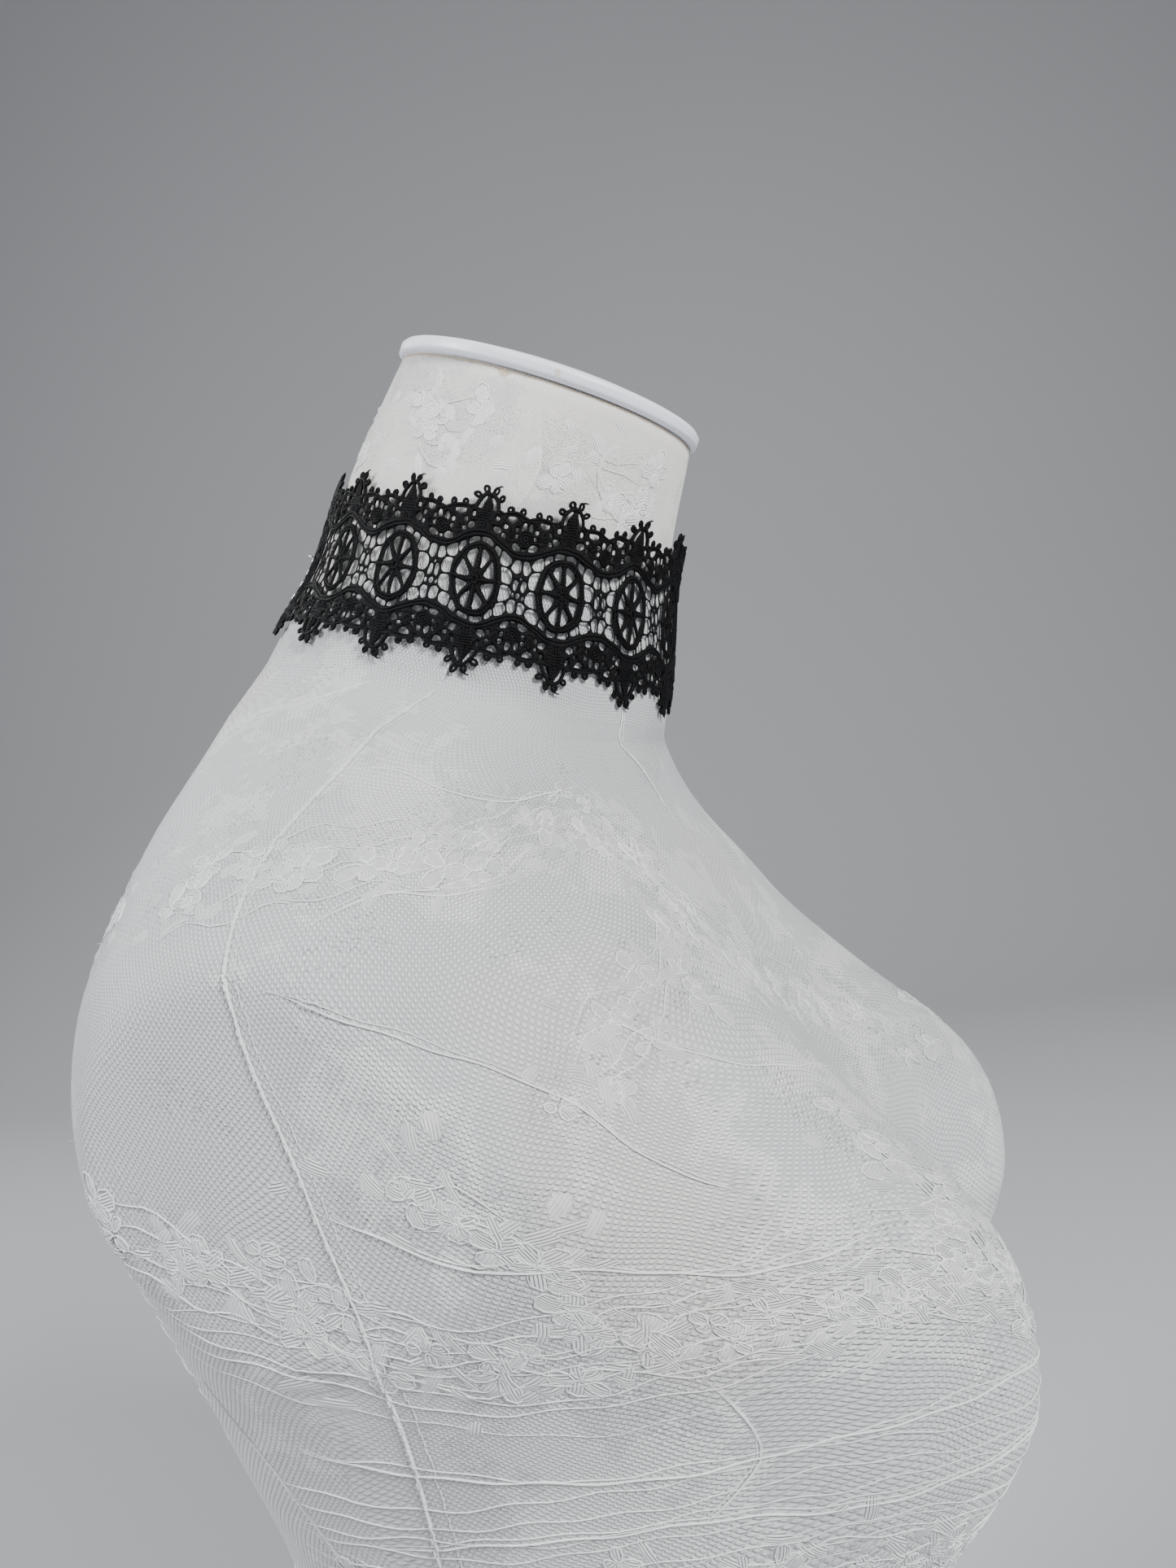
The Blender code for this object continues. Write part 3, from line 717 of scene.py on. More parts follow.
# %% The covered form
FINE_AROUND, FINE_LEVELS, CLOTH_ROUND, GARLAND_REACH = 154, 116, 0.72, 13.0
levels = np.linspace(0.0, TOP_HEIGHT, FINE_LEVELS)
angles = 2 * math.pi * np.arange(FINE_AROUND) / FINE_AROUND
skin = ring_mesh("skin", form_points(levels[:, None], angles), (CLOTH_ROUND, levels * MM))
flowers = point_tree(cover_work.garland_points)
nearness = [math.exp(-(flowers.find(v.co / MM)[2] / GARLAND_REACH) ** 2) for v in skin.vertices]
skin.attributes.new("garland", "FLOAT", "POINT").data.foreach_set("value", nearness)
covered = joined("covered_form", (skin, *embroidery_mesh(cover_work)))
add_piece("covered_form", covered, cover_knit, FORM, ["form_torso"])

# %% [markdown]
# The cap is a turned plastic plug that follows the neck's oval, with a rounded rim. It is lightly
# scuffed, and a small chip out of its rim shows beige.

# %% The cap
CAP_ROWS = (                 # mm above the neck's top, mm outside its oval
    (0.3, -2.0), (0.4, 0.6), (1.2, 1.6), (3.9, 1.6), (4.9, 0.7), (5.4, -1.0), (7.2, -9.0),
    (8.7, -20.0), (9.4, -32.0))
RINGS_A_ROW = 3
CHIP_TURN, CHIP_OUT, CHIP_RISE, CHIP_REACH = math.radians(-158.0), 1.6, 2.6, (0.0015, 0.0018)
cap = Finish("cap_plastic")
cap_place = cap.object_place()
scuffs = cap.noise(cap_place, 60.0, 4.0, 0.6)
chip_place = form_points(TOP_HEIGHT, CHIP_TURN, (CHIP_OUT,) * 3, CHIP_RISE) * MM
chip_away = cap.add("ShaderNodeVectorMath", {0: cap_place, 1: tuple(chip_place)}, output="Value",
                    operation="DISTANCE") + cap.noise(cap_place, 700.0) * 0.0014
scuffed = cap.mix(cap.ramp(scuffs, 0.45, 0.75) * 0.4, shade(0.82, 0.85, 0.93), shade(0.72, 0.75, 0.83))
cap_plastic = cap.dress(
    Base_Color=cap.mix(cap.ramp(chip_away, *CHIP_REACH, 1.0, 0.0) * 0.8, scuffed, shade(0.70, 0.60, 0.52)),
    Roughness=cap.ramp(scuffs, 0.3, 0.8, 0.30, 0.50),
    Normal=cap.bump(cap.noise(cap_place, 350.0, 3.0), 0.0002, 0.25))
rows = range(len(CAP_ROWS))
steps = np.linspace(0, rows[-1], RINGS_A_ROW * rows[-1] + 1)
cap_rings = np.array([form_points(TOP_HEIGHT, angles, (wide,) * 3, rise) for rise, wide in
                      zip(*(np.interp(steps, rows, column) for column in zip(*CAP_ROWS)))])
add_piece("turned_cap", ring_mesh("turned_cap", cap_rings), cap_plastic, FORM, ["neck_cap"])

# %% [markdown]
# The lace is made flat and then laid on the neck, as the real strip is. Across runs round the neck
# from the seam, up runs up it, and the third number is how far a thread stands off.

# %% Where a place on the band is
NECK_TILT, MID_HEIGHT = math.radians(17.35), 479.2
REPEATS_PER_HALF, CLOSURE_GAP, LACE_MIDDLE_ARC = 7, 16.0, -9.8
WORN_RISE, WORN_RISE_BACK = 1.9, 1.2
WORN_TALL, WORN_TALL_FRONT = 1.02, 0.06
STANDOFF_ROWS = (            # mm up the band, standoff at the side, front and back
    (-28.0, 1.1, 1.0, 2.4), (0.0, 1.1, 1.0, 1.3), (28.0, 2.0, 5.6, 1.5))
END_LIFT, END_LIFT_REACH = 1.3, 11.0
ARC_STEPS = 720
standoff_row = smooth_table(STANDOFF_ROWS)


def band_surface(angle, rise, out=0.0, lift=0.0):
    """Points of the worn band in mm, by the angle round the neck and mm up the flat band."""
    angle, rise, out, lift = np.broadcast_arrays(np.asarray(angle, float), rise, out, lift)
    side, front, back = np.moveaxis(standoff_row(rise), -1, 0)
    tall = WORN_TALL + WORN_TALL_FRONT * np.maximum(-np.sin(angle), 0.0) ** 3
    worn = rise * tall + WORN_RISE + WORN_RISE_BACK * np.sin(angle)
    height = MID_HEIGHT + worn * math.cos(NECK_TILT)
    return form_points(height, angle, tuple(r + lift + out for r in (side, front, back)))


ANGLES = -math.pi / 2 - 2 * math.pi * np.arange(ARC_STEPS + 1) / ARC_STEPS       # from the front
ring = band_surface(ANGLES, 0.0)
ARCS = np.concatenate(([0.0], np.cumsum(np.linalg.norm(np.diff(ring, axis=0), axis=1))))
BAND_LENGTH = float(ARCS[-1])
PITCH = (BAND_LENGTH - CLOSURE_GAP) / (2 * REPEATS_PER_HALF)
CLOSURE_ARC = LACE_MIDDLE_ARC + BAND_LENGTH / 2


def band_points(arc, rise, out=0.0):
    """The same by mm round from the front; the two ends lift off the neck at the closure."""
    arc = np.asarray(arc, float)
    turns = np.floor(arc / BAND_LENGTH)
    angle = np.interp(arc - turns * BAND_LENGTH, ARCS, ANGLES) - 2 * math.pi * turns
    to_closure = np.abs((arc - CLOSURE_ARC + BAND_LENGTH / 2) % BAND_LENGTH - BAND_LENGTH / 2)
    beyond = np.maximum(to_closure - CLOSURE_GAP / 2, 0.0)
    return band_surface(angle, rise, out, END_LIFT * np.exp(-(beyond / END_LIFT_REACH) ** 2))


def band_point(arc, rise, out=0.0):
    return Vector(band_points(arc, rise, out))


print("band", round(BAND_LENGTH, 2), "mm round, one repeat", round(PITCH, 3), "mm")

# %% [markdown]
# Chemical lace is embroidered on a film that is washed away, so what is left is thread around
# openings. The ground here is cut the same way: openings first, each a coarse polygon whose corners
# are cut twice into a pebble shape, and everything between them stays.

# %% Openings of one repeat, a quarter at a time (across, up in mm from the wheel's middle)
HALF_PITCH = PITCH / 2
QUARTER_OPENINGS = (
    ((0.28, 10.0), (1.8, 9.75), (3.1, 9.1), (3.25, 10.3), (2.2, 11.1), (0.28, 11.3)),
    ((3.75, 8.75), (4.8, 7.6), (5.55, 6.75), (5.9, 7.9), (5.85, 9.0), (4.1, 10.0)),
    ((6.0, 6.4), (6.5, 5.3), (8.4, 4.95), (9.5, 6.1), (9.4, 7.3), (8.4, 8.2), (6.5, 8.9)),
    ((9.55, 4.7), (10.5, 3.7), (11.7, 3.9), (11.9, 5.2), (11.85, 7.0), (10.9, 7.3), (10.1, 6.9)),
    ((7.3, 0.32), (9.3, 0.32), (10.0, 1.7), (9.8, 3.4), (8.9, 4.35), (6.7, 4.75), (7.1, 2.6)),
    ((8.5, 10.4), (9.6, 9.7), (11.1, 9.6), (11.2, 10.6), (10.2, 11.5), (8.9, 11.4)),
    ((10.7, 14.6), (11.6, 14.4), (11.9, 15.6), (11.5, 16.8), (10.8, 16.9), (10.5, 15.8)),
    ((6.1, 18.2), (6.3, 16.9), (7.6, 16.3), (8.8, 17.2), (8.8, 18.2), (7.4, 18.5)),
    ((2.7, 13.3), (3.8, 12.85), (4.8, 13.5), (4.8, 14.5), (3.7, 14.95), (2.8, 14.4)),
    ((1.9, 18.9), (3.0, 18.9), (2.8, 20.2), (2.0, 21.6), (1.0, 22.6), (0.6, 22.1), (1.1, 21.2),
     (1.65, 20.2)),
    ((5.1, 12.5), (6.1, 12.4), (6.2, 13.5), (5.3, 13.7)),
    ((5.2, 14.8), (6.1, 14.8), (6.4, 15.7), (5.4, 16.0)),
    ((9.0, 12.6), (9.9, 12.5), (10.0, 13.6), (9.1, 13.7)),
    ((8.8, 14.5), (9.7, 14.3), (9.9, 15.4), (8.9, 15.7)),
    ((3.0, 16.5), (3.9, 16.3), (4.1, 17.4), (3.2, 17.8)))
HALF_OPENINGS = (            # mirrored across only
    ((10.5, -0.8), (10.4, 1.2), (11.0, 2.2), (11.7, 1.8), (11.8, -0.3), (11.1, -1.1)),
    ((10.3, -1.8), (10.85, -1.95), (11.05, -2.8), (10.6, -3.1), (10.25, -2.6)))
BORDER_OPENINGS = (          # across the line between two repeats, once
    ((11.5, -2.3), (11.9, -3.0), (12.5, -3.0), (12.95, -2.3), (12.6, -1.6), (11.85, -1.6)),
    ((11.95, 2.6), (12.2, 2.2), (12.5, 2.6), (12.2, 3.1)),
    ((11.7, 9.5), (12.75, 9.5), (12.75, 10.2), (11.7, 10.2)),
    ((11.7, -9.5), (12.75, -9.5), (12.75, -10.2), (11.7, -10.2)))
QUARTER_EDGE = ((0.0, 23.5), (1.5, 23.2), (2.8, 21.9), (3.6, 20.4), (3.9, 19.3), (4.9, 18.8), (6.2, 19.2),
                (8.3, 19.4), (10.4, 18.7), (12.23, 18.0))
OPENING_CUT = 0.19
WHEEL, WHEEL_HUB = (5.45, 8.1), (2.1, 3.1)   # half axes inside the wheel's ring and round its hub
BESIDE_SPOKE = ((0.66, 0.70), (0.9, 0.58), (1.0, 1.0))     # share of the way to the ring, mm aside
SPOKES = 8
spoke_turns = [2 * math.pi / SPOKES * k for k in range(SPOKES)]


def ellipse_point(half_axes, turn):
    return Vector((half_axes[0] * math.cos(turn), half_axes[1] * math.sin(turn)))


def wheel_opening(turn):
    """The opening between a spoke of the wheel and the next one."""
    first, middle, last = turn, turn + math.pi / SPOKES, turn + 2 * math.pi / SPOKES
    sides = []
    for spoke, way in ((first, 1), (last, -1)):
        rim = ellipse_point(WHEEL, spoke)
        aside = Vector((-rim.y, rim.x)).normalized() * way
        sides.append([rim * share + aside * gap for share, gap in BESIDE_SPOKE])
    return [ellipse_point(WHEEL_HUB, middle), *sides[0], ellipse_point(WHEEL, middle) * 1.04, *sides[1][::-1]]


def mirrored(loops, rises):
    return [[(x * across, y * rise) for x, y in loop]
            for loop in loops for across in (1, -1) for rise in rises]


OPENINGS, SHARED_OPENINGS = (
    [cut_corners(loop, 2, cut_at=OPENING_CUT) for loop in loops]
    for loops in ([wheel_opening(turn) for turn in spoke_turns] + mirrored(QUARTER_OPENINGS, (1, -1))
                  + mirrored(HALF_OPENINGS, (1,)), BORDER_OPENINGS))
print(len(OPENINGS) + len(SHARED_OPENINGS), "openings in a repeat")

# %% [markdown]
# The ground between the openings is filled with triangles by a constrained Delaunay fill. Its two
# faces meet at every edge and swell between them, so each bar is round like the thread it stands for.

# %% The lace's ground
GROUND_HALF, GROUND_ROUND, GROUND_STEP = 0.27, 0.40, 0.68       # half thickness, rounding, spacing
EDGE_STEP, EDGE_CLEAR, LEAST_ROUND, GROUND_TALL = 0.16, 0.2, 0.08, 24.0


def lace_outline(first_across, last_across):
    """Edge of a half, between its two straight ends, as one counterclockwise loop."""
    quarter = cut_corners(QUARTER_EDGE, 1, closed=False).tolist()
    crown = [(-x, y) for x, y in quarter[:0:-1]] + quarter
    top = []
    for number in range(REPEATS_PER_HALF):
        middle = first_across + (number + 0.5) * PITCH
        top += [(middle + x, y) for x, y in (crown if number == 0 else crown[1:])]
    top[0], top[-1] = (first_across, top[0][1]), (last_across, top[-1][1])
    return [(x, -y) for x, y in top] + top[::-1]


def sample_loop(loop, step):
    """Points at most a step apart, or little more, along a closed loop."""
    after = np.roll(loop, -1, axis=0)
    parts = []
    for a, b in zip(loop, after):
        count = max(1, int(np.linalg.norm(b - a) / step))
        parts.append(a + (b - a) * (np.arange(count) / count)[:, None])
    return np.concatenate(parts)


def lace_ground(name, first_across, last_across):
    """Both faces of a half's ground, lying flat, in mm."""
    loops = [np.array(lace_outline(first_across, last_across))]
    for number in range(REPEATS_PER_HALF):
        middle = first_across + (number + 0.5) * PITCH
        loops += [loop + (middle, 0.0) for loop in OPENINGS + SHARED_OPENINGS]
    loops += [loop + (first_across - HALF_PITCH, 0.0) for loop in SHARED_OPENINGS]
    loops = [loop if np.sum(loop[:, 0] * np.roll(loop[:, 1], -1) - np.roll(loop[:, 0], -1) * loop[:, 1]) > 0
             else loop[::-1] for loop in loops]
    tree = point_tree([(x, y, 0.0) for loop in loops for x, y in sample_loop(loop, EDGE_STEP)])
    grid_x = np.arange(first_across + 0.2, last_across - 0.1, GROUND_STEP)
    grid_y = np.arange(-GROUND_TALL, GROUND_TALL + 0.01, GROUND_STEP * 0.87)
    inner = [(x + row % 2 * GROUND_STEP / 2, y) for row, y in enumerate(grid_y) for x in grid_x]
    inner = [p for p in inner if tree.find((*p, 0.0))[2] > EDGE_CLEAR]
    points = [Vector(p) for part in (*loops, inner) for p in part]
    regions, start = [], 0
    for loop in loops:
        regions.append(tuple(range(start, start + len(loop))))
        start += len(loop)
    flat, _, faces, _, _, owners = delaunay_2d_cdt(points, [], regions, 1, 1e-5)
    bm = bmesh.new()
    corners = [bm.verts.new((p.x, p.y, 0.0)) for p in flat]
    for face, own in zip(faces, owners):
        if own == [0]:
            bm.faces.new([corners[index] for index in face])
    bmesh.ops.delete(bm, geom=[v for v in bm.verts if not v.link_faces], context="VERTS")
    thin = [e for e in bm.edges if len(e.link_faces) == 2 and all(v.is_boundary for v in e.verts)]
    bmesh.ops.subdivide_edges(bm, edges=thin, cuts=1)
    bmesh.ops.triangulate(bm, faces=bm.faces)
    swelling = [v for v in bm.verts if not v.is_boundary]
    edge_points = [v for v in bm.verts if v.is_boundary]
    back = bmesh.ops.duplicate(bm, geom=bm.faces)
    twin = back["vert_map"]
    for v in swelling:
        away = min(max(tree.find(v.co)[2], LEAST_ROUND), GROUND_ROUND)
        v.co.z = GROUND_HALF * math.sqrt(1 - (1 - away / GROUND_ROUND) ** 2)
        twin[v].co.z = -v.co.z
    bmesh.ops.reverse_faces(bm, faces=[f for f in back["geom"] if isinstance(f, bmesh.types.BMFace)])
    bmesh.ops.weld_verts(bm, targetmap={twin[v]: v for v in edge_points})
    mesh = bpy.data.meshes.new(name)
    bm.to_mesh(mesh)
    bm.free()
    return mesh

# %% [markdown]
# Over the ground lie the worked cords: the ring and petals of the wheel, the double braid that waves
# past it, coiled rosettes, and the picot loops on the crowns. Each is only a centre line here, with
# its radius; a tree sweeps and repeats them.

# %% Cords of one repeat
PICOTS = (                   # across, rise, half width, half height, lean from upright
    (1.35, 24.2, 0.60, 0.85, 0.25), (3.6, 22.2, 0.58, 0.80, 1.05), (6.6, 19.8, 0.58, 0.66, 0.05),
    (9.8, 19.6, 0.58, 0.66, 0.15))
WHEEL_RINGS = (              # half width, half height, points, out, radius, from ring to hub
    (6.6, 9.3, 56, 0.14, 0.40), (5.72, 8.42, 52, 0.14, 0.38), (1.0, 1.1, 12, 0.42, 0.38),
    (1.7, 2.1, 18, 0.22, 0.30))
ROSETTE_HALVES = (           # half width, half height, points, out, radius, from the middle outward
    (0.55, 0.55, 7, 0.28, 0.36), (1.35, 1.2825, 10, 0.2, 0.36), (2.05, 1.9475, 13, 0.2, 0.32))
ROSETTE_RISE = 12.9
WHIP_POINTS, WHIP_HALF, WHIP_SWAY, WHIP_OUT, WHIP_RADIUS = 84, (6.16, 8.86), 0.42, 0.36, 0.17
PETAL_TIP, PETAL_WIDTHS = (6.0, 8.6), (0.50, 0.44)
BRAID_GAP, BRAID_RADIUS, BRAID_RISE, BRAID_WAVE = 0.52, 0.47, 10.35, 2.05
ARCH = ((3.5, 18.4), (3.35, 19.8), (2.6, 21.5), (1.5, 22.8), (0.0, 23.3))
BUD = ((1.35, 18.4), (1.15, 19.6), (0.75, 20.9), (0.35, 22.0), (0.1, 22.8))
BORDER_STEMS = (             # points across, up and out, radius
    (((5.2, 18.3, 0.2), (4.6, 17.2, 0.22), (4.7, 15.9, 0.2), (4.6, 14.9, 0.15)), 0.36),
    (((6.6, 12.5, 0.15), (7.2, 11.9, 0.2), (8.0, 11.7, 0.15), (8.7, 12.1, 0.1)), 0.34))
CROWN_STEM = ((0.0, 18.3, 0.3), (0.0, 20.3, 0.34), (0.0, 22.0, 0.25))
CROWN_TAIL, TAIL_RADII = ((-1.4, 24.9), (-2.0, 25.4), (-2.7, 25.6), (-3.2, 25.4)), (0.32, 0.28, 0.2, 0.1)
HEAPED, HEAPED_CLEAR = 13, 0.42


def oval(across, rise, half_width, half_height, count, out=0.0, lean=0.0, start=0.0, turn=2 * math.pi):
    """Ring, or arc, whose long way leans from upright toward +across."""
    line = []
    for k in range(count):
        a = start + turn * k / (count if turn > math.pi else count - 1)
        w, h = half_width * math.cos(a), half_height * math.sin(a)
        line.append((across + w * math.cos(lean) + h * math.sin(lean),
                     rise - w * math.sin(lean) + h * math.cos(lean), out))
    return line


def swirl(across, rise, first, last, turns, count, way, begin, out=0.3):
    """Coil that winds outward and sinks toward its rim."""
    line = []
    for share in np.arange(count) / (count - 1):
        a = begin + way * 2 * math.pi * turns * share ** 0.7
        size = (first + (last - first) * share ** 0.7) * (1 + 0.17 * math.sin(2.6 * a + across))
        line.append((across + size * math.cos(a), rise + size * math.sin(a), out - 0.16 * share))
    return line


def heaped_stitches():
    """Short thick stitches heaped in the borders, clear of the openings."""
    rng = np.random.default_rng(5)
    holes = np.concatenate(OPENINGS + SHARED_OPENINGS)
    lines = []
    while len(lines) < HEAPED:
        middle = np.array((rng.uniform(0.8, 12.0), rng.uniform(13.6, 18.3)))
        heading, half, bow = rng.uniform(0, math.pi), rng.uniform(0.7, 1.15), rng.uniform(-0.4, 0.4)
        along = np.array((math.cos(heading), math.sin(heading)))
        aside = np.array((-along[1], along[0])) * bow
        ends = [middle - along * half, middle + aside, middle + along * half]
        if all(0.3 < x < 12.1 and y < 18.6 and np.linalg.norm(holes - (x, y), axis=1).min() > HEAPED_CLEAR
               for x, y in ends):
            lines.append(([(*end, out) for end, out in zip(ends, (0.12, 0.36, 0.12))],
                          rng.uniform(0.30, 0.40)))
    return lines


def quarter_cords():
    """Cords that lie alike in all four quarters: edge, arch, bud, braid stitches and satin leaf."""
    edge, arch = (cut_corners(line, 2, closed=False) for line in (QUARTER_EDGE[4:], ARCH))
    yield [(x, y - 0.20, 0.14) for x, y in edge], 0.42
    yield [(x, y - 1.0, 0.06) for x, y in edge[2:]], 0.28
    yield [(x * 0.97, y, 0.14) for x, y in arch], 0.60
    for spread in (0.5, 1.0):
        yield [(x * spread, y, 0.24 - 0.12 * spread) for x, y in BUD], 0.38
    for x in (0.95, 1.85):
        yield braid_stitch(x), 0.36
    for row in range(4):
        sag = 0.04 + 0.015 * row
        yield [(x, 15.7 + 0.74 * row - sag * x * x, 0.16)
               for x in np.linspace(0.0, 3.2 - 0.3 * abs(row - 1), 6)], 0.38


def braid_stitch(x):
    return [(x, 13.1 - 0.05 * x, 0.1), (x * 0.9, 14.2, 0.26), (x * 0.7, 15.4, 0.2)]


def wheel_petal(cords, turn, width):
    """A thick cord from hub to ring with a thinner one bowed out on either side."""
    tip = Vector((PETAL_TIP[0] * math.cos(turn), PETAL_TIP[1] * math.sin(turn), 0.0))
    aside = Vector((-tip.y, tip.x, 0.0)).normalized() * width
    for side, out, radius in ((-1, 0.12, 0.28), (0, 0.30, 0.36), (1, 0.12, 0.28)):
        cords.run([tip * t + aside * side * math.sin(math.pi * min(1.0, 1.12 * (1 - t))) ** 0.6
                   + Vector((0, 0, out)) for t in np.linspace(0.08, 1.0, 8)], radius)


def repeat_cords():
    cords = Cords()
    for half_width, half_height, count, out, radius in WHEEL_RINGS:
        cords.run(oval(0, 0, half_width, half_height, count, out), radius, True)
    sways = WHIP_SWAY * (-1.0) ** np.arange(WHIP_POINTS)
    cords.run([((WHIP_HALF[0] + sway) * math.cos(a), (WHIP_HALF[1] + sway) * math.sin(a), WHIP_OUT)
               for sway, a in zip(sways, 2 * math.pi * np.arange(WHIP_POINTS) / WHIP_POINTS)],
              WHIP_RADIUS, True)
    for number, turn in enumerate(spoke_turns):
        wheel_petal(cords, turn, PETAL_WIDTHS[number % 2])
    for line, radius in (*quarter_cords(), *BORDER_STEMS, *heaped_stitches()):
        cords.mirrored(line, radius)
    for rise in (1, -1):
        for side in (1, -1):
            cords.run([(x, rise * (BRAID_RISE + BRAID_WAVE * math.cos(2 * math.pi * x / PITCH)
                                   + side * BRAID_GAP), 0.18)
                       for x in np.linspace(-HALF_PITCH, HALF_PITCH, 41)], BRAID_RADIUS)
        for line, radius in ((braid_stitch(0.0), 0.36), (CROWN_STEM, 0.40),
                             ([(x, y, 0.05) for x, y in CROWN_TAIL], TAIL_RADII)):
            cords.run([(x, y * rise, out) for x, y, out in line], radius)
        for a in (1, -1):
            for x, y, half_width, half_height, lean in PICOTS:
                cords.run(oval(x * a, y * rise, half_width, half_height, 10, 0.06, lean * a * rise),
                          0.47 + 0.03 * math.sin(7 * x + rise), True)
            for half_width, half_height, count, out, radius in ROSETTE_HALVES:
                cords.run(oval(HALF_PITCH * a, ROSETTE_RISE * rise, half_width, half_height, count, out,
                               0.0, a * math.pi / 2, math.pi), radius)
            cords.run(swirl(7.6 * a, 14.1 * rise, 0.25, 1.35, 1.7, 24, a * rise, 1.0), 0.38)
            cords.run(swirl(10.0 * a, 17.1 * rise, 0.2, 0.85, 1.3, 12, -a * rise, 0.5), 0.30)
    return cords


one_repeat = repeat_cords()
print(len(one_repeat.points), "points on the cords of one repeat")

# %% [markdown]
# The thread is a matt black yarn. The dry, faintly blue sheen on its crowns is painted highlight:
# lighter specks on the crowns, gathered in patches. Its finish reads the flat place of each point,
# kept before the strip was bent, and the length along each cord.

# %% The thread's finish
PLY_TWIST = 7.5              # radians a mm along the cord
thread = Finish("lace_thread", Specular_IOR_Level=0.14)
flat_place = thread.attribute("lace_place", "Vector")
fibre = thread.noise(flat_place, 2.6, 3.0, 0.6)
# Painted highlight: lighter, faintly blue specks where light glints off the thread's crowns, denser in
# patches, are mixed into the yarn's colour below.
glint_patches = thread.ramp(thread.noise(flat_place, 0.35), 0.55, 0.8)
ply = (thread.attribute("along") * PLY_TWIST + fibre * 1.5).wave()
crown_glints = thread.ramp(fibre, 0.42, 0.75)
yarn = thread.mix(crown_glints * 0.7, shade(0.0009, 0.0009, 0.0013), shade(0.0055, 0.0057, 0.0075))
yarn = thread.mix(glint_patches * crown_glints * 0.5, yarn, shade(0.022, 0.023, 0.028))
lace_thread = thread.dress(Base_Color=yarn, Roughness=0.66 - crown_glints * 0.2,
                           Normal=thread.bump(ply * 0.6 + fibre, 0.00018, 0.9))

# %% [markdown]
# Each half is its ground, its seven repeats of cords and the binding of its end, joined flat, pulled
# a little out of true, and then laid on the neck.

# %% Lay the two halves on the neck
HALF_LENGTH = REPEATS_PER_HALF * PITCH
END_CORDS = (                # mm in from the end, reach up and down, out, radius
    (0.35, 17.6, 0.08, 0.36), (0.91, 17.2, 0.02, 0.28))


def settle(across, rise):
    """Small uneven pulls, as no two repeats lie quite alike; none at the seam or the closure."""
    free = np.clip(np.minimum(np.abs(across), HALF_LENGTH - np.abs(across)) / 4.0, 0.0, 1.0)
    pull = 0.20 * np.sin(0.47 * across + 0.31 * rise + 0.9) + 0.13 * np.sin(1.13 * across - 0.62 * rise)
    lean = (0.22 * np.sin(0.39 * across - 0.23 * rise + 2.1)
            + 0.12 * np.sin(0.97 * across + 0.71 * rise + 0.4))
    return across + pull * free, rise + lean * free


def lay_on_neck(flat):
    """Bend a flat mesh, in mm, onto the band's surface, and keep where each point lay flat."""
    place = np.empty(len(flat.vertices) * 3)
    flat.vertices.foreach_get("co", place)
    flat.attributes.new("lace_place", "FLOAT_VECTOR", "POINT").data.foreach_set("vector", place)
    across, rise, out = place.reshape(-1, 3).T
    across, rise = settle(across, rise)
    flat.vertices.foreach_set("co", (band_points(LACE_MIDDLE_ARC + across, rise, out) * MM).ravel())
    flat.update()
    flat.flip_normals()


def end_cords(side):
    """Binding down the closure end of a half, and the bar that holds its ring."""
    cords = Cords()
    for inset, reach, out, radius in END_CORDS:
        cords.run([(side * (HALF_LENGTH - inset), y, out) for y in np.linspace(-reach, reach, 40)], radius)
    return cords


for name, side in (("lace_right", 1), ("lace_left", -1)):
    start = min(0.0, side * HALF_LENGTH)
    cords = sweep_cords(name + "_cords", one_repeat, lace_thread, 5, REPEATS_PER_HALF, PITCH,
                        start + HALF_PITCH)
    end = sweep_cords(name + "_end", end_cords(side), lace_thread, 6)
    ground = lace_ground(name + "_ground", start, start + HALF_LENGTH)
    flat = joined("worked_" + name, (ground, cords, end))
    lay_on_neck(flat)
    piece = add_piece("worked_" + name, flat, lace_thread, FORM, [name])

# %% [markdown]
# The closure is small jewellery: a jump ring through each end of the lace, a clasp from the far
# one, and a chain of bent wire links from the near one, with its tail hanging down the neck. Its
# sizes in mm are measured along the closure from the far end of the lace.

# %% Silver
silver = Finish("silver_wire", Metallic=1.0)
silver_place = silver.object_place()
worn = silver.noise(silver_place, 900.0, 3.0)
silver_wire = silver.dress(
    Base_Color=silver.mix(silver.ramp(worn, 0.4, 0.75), shade(0.72, 0.71, 0.69), shade(0.50, 0.49, 0.48)),
    Roughness=silver.ramp(worn, 0.3, 0.8, 0.20, 0.38),
    Normal=silver.bump(silver.noise(silver_place, 2500.0), 0.00004, 0.4))

RING_RADIUS, RING_WIRE, RING_INSET, RING_OUT = 2.15, 0.3, 0.15, 0.5
CLASP_OUT, CLASP_WIRE, CLASP_END = 0.1, 0.55, 9.9
CLASP_HALF = ((2.6, 0.95), (3.4, 1.5), (4.6, 2.2), (6.2, 2.6), (7.6, 2.55), (8.9, 1.9), (9.6, 1.0))
EYE_AT, EYE_RADIUS, EYE_WIRE = 1.75, 1.12, 0.31
LINK_WIRE, HOOK_LINK, SECOND_LINK = 0.25, (8.0, 12.85, 1.3), (12.05, 15.05, 0.9)
LINK_LENGTH, LINK_HALF_WIDTH, LINK_PITCH = 2.9, 0.8, 2.1
TAIL_AT, TAIL_LINKS, TAIL_TOP = 10.9, 8, 0.8

centre = band_point(CLOSURE_ARC, 0.0)
near, far = (band_point(CLOSURE_ARC + d, 0.0) for d in (-1.0, 1.0))
closure_up = (band_point(CLOSURE_ARC, 1.0) - band_point(CLOSURE_ARC, -1.0)).normalized()
closure_along = (near - far).normalized()
closure_up = (closure_up - closure_along * closure_up.dot(closure_along)).normalized()
closure_out = closure_along.cross(closure_up)
far_end = centre - closure_along * CLOSURE_GAP / 2


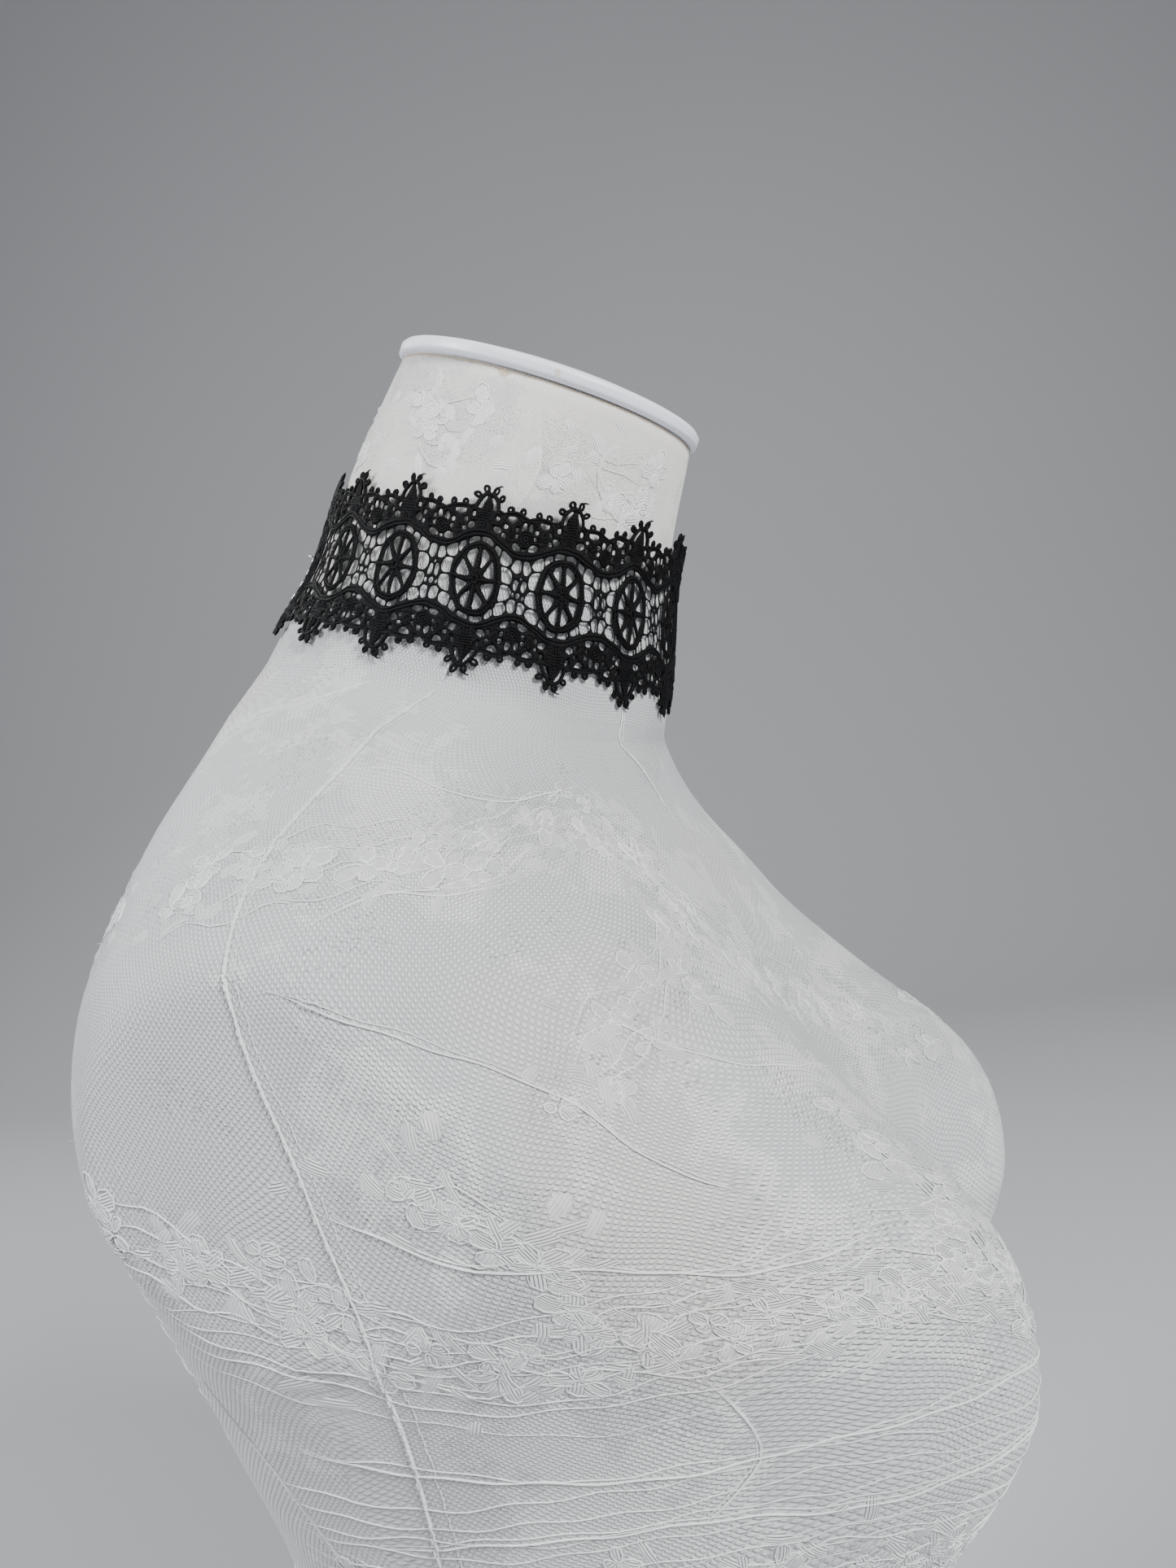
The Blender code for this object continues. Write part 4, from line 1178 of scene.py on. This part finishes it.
def at(distance, outward=CLASP_OUT, rise=0.0):
    return far_end + closure_along * distance + closure_out * outward + closure_up * rise


def link_line(middle, long_way, wide_way, half_length, half_width, corners=14):
    """Stadium-shaped centre line of a closed link."""
    straight = half_length - half_width
    line = []
    for end in (1, -1):
        for turn in math.pi * (np.arange(corners + 1) / corners - 0.5):
            line.append(middle + end * (long_way * (straight + half_width * math.cos(turn))
                                        + wide_way * half_width * math.sin(turn)))
    return line if straight > 1e-6 else line[:corners] + line[corners + 1:-1]


def wire_piece(name, body, nodes, lines):
    """Piece of bent wires, each a centre line, its wire's radius and whether it is closed."""
    cords = Cords()
    for line in lines:
        cords.run(*line)
    mesh = sweep_cords(name, cords, silver_wire, 10)
    mesh.transform(Matrix.Scale(MM, 4))
    add_piece(name, mesh, silver_wire, body, nodes)


for name, side in (("ring_far", 1), ("ring_near", -1)):
    arc = CLOSURE_ARC + side * (CLOSURE_GAP / 2 + RING_INSET)
    inward = (band_point(arc - side, 0.0) - band_point(arc + side, 0.0)).normalized()
    outward = inward.cross(closure_up * side).normalized()
    line = link_line(band_point(arc, 0.0) + outward * RING_OUT, inward, outward, RING_RADIUS, RING_RADIUS)
    wire_piece("jump_" + name, FORM, [name], [(line, RING_WIRE, True)])
for name, (start, end, half_width), wide_way in (("hook_link", HOOK_LINK, closure_out),
                                                 ("second_link", SECOND_LINK, closure_up)):
    line = link_line(at((start + end) / 2), closure_along, wide_way, (end - start) / 2, half_width)
    wire_piece("wire_" + name, FORM, [name], [(line, LINK_WIRE, True)])


def clasp_wires():
    """The claw's rounded rim, the eye, the trigger with its thumb knob, its pin, the shoulders."""
    side = cut_corners([(CLASP_HALF[0][0], 0.0)] + [(x, w - CLASP_WIRE) for x, w in CLASP_HALF]
                       + [(CLASP_END - CLASP_WIRE, 0.0)], 2, closed=False)
    yield [at(x, rise=w) for x, w in side] + [at(x, rise=-w) for x, w in side[-2:0:-1]], CLASP_WIRE, True
    yield [at(EYE_AT + EYE_RADIUS * math.cos(a), rise=EYE_RADIUS * math.sin(a))
           for a in np.linspace(0, 2 * math.pi, 20, endpoint=False)], EYE_WIRE, True
    yield [at(x, rise=w) for x, w in ((4.4, 1.5), (5.4, 1.62), (6.8, 1.9), (8.2, 1.6))], 0.42
    yield [at(4.9, CLASP_OUT + 0.3, 1.6), at(5.1, CLASP_OUT + 0.42, 2.05)], 0.3
    yield [at(4.5, CLASP_OUT + d, 1.0) for d in (-0.52, 0.52)], 0.32
    for w in (-1.1, -0.4, 0.4, 1.1):
        yield [at(x, rise=w * share) for x, share in ((2.9, 0.4), (3.8, 0.9), (4.8, 1.0))], 0.56


def tail_wires():
    """The tail's links down the neck's slope, every second one turned."""
    tail_arc = CLOSURE_ARC + CLOSURE_GAP / 2 - TAIL_AT
    pivot = at(TAIL_AT, CLASP_OUT + HOOK_LINK[2])
    for number in range(TAIL_LINKS):
        rise = TAIL_TOP - LINK_LENGTH / 2 - LINK_PITCH * number
        low, middle, high = (band_point(tail_arc, rise + d) for d in (-0.5, 0.0, 0.5))
        direction = (high - low).normalized()
        wide_way = closure_along if number % 2 else direction.cross(closure_along).normalized()
        yield link_line(pivot + middle - band_point(tail_arc, 0.0), direction, wide_way,
                        LINK_LENGTH / 2, LINK_HALF_WIDTH), LINK_WIRE, True


wire_piece("lobster_clasp", FORM, ["clasp"], clasp_wires())
wire_piece("chain_links", TAIL, [f"tail_link_{k + 1}" for k in range(TAIL_LINKS)], tail_wires())
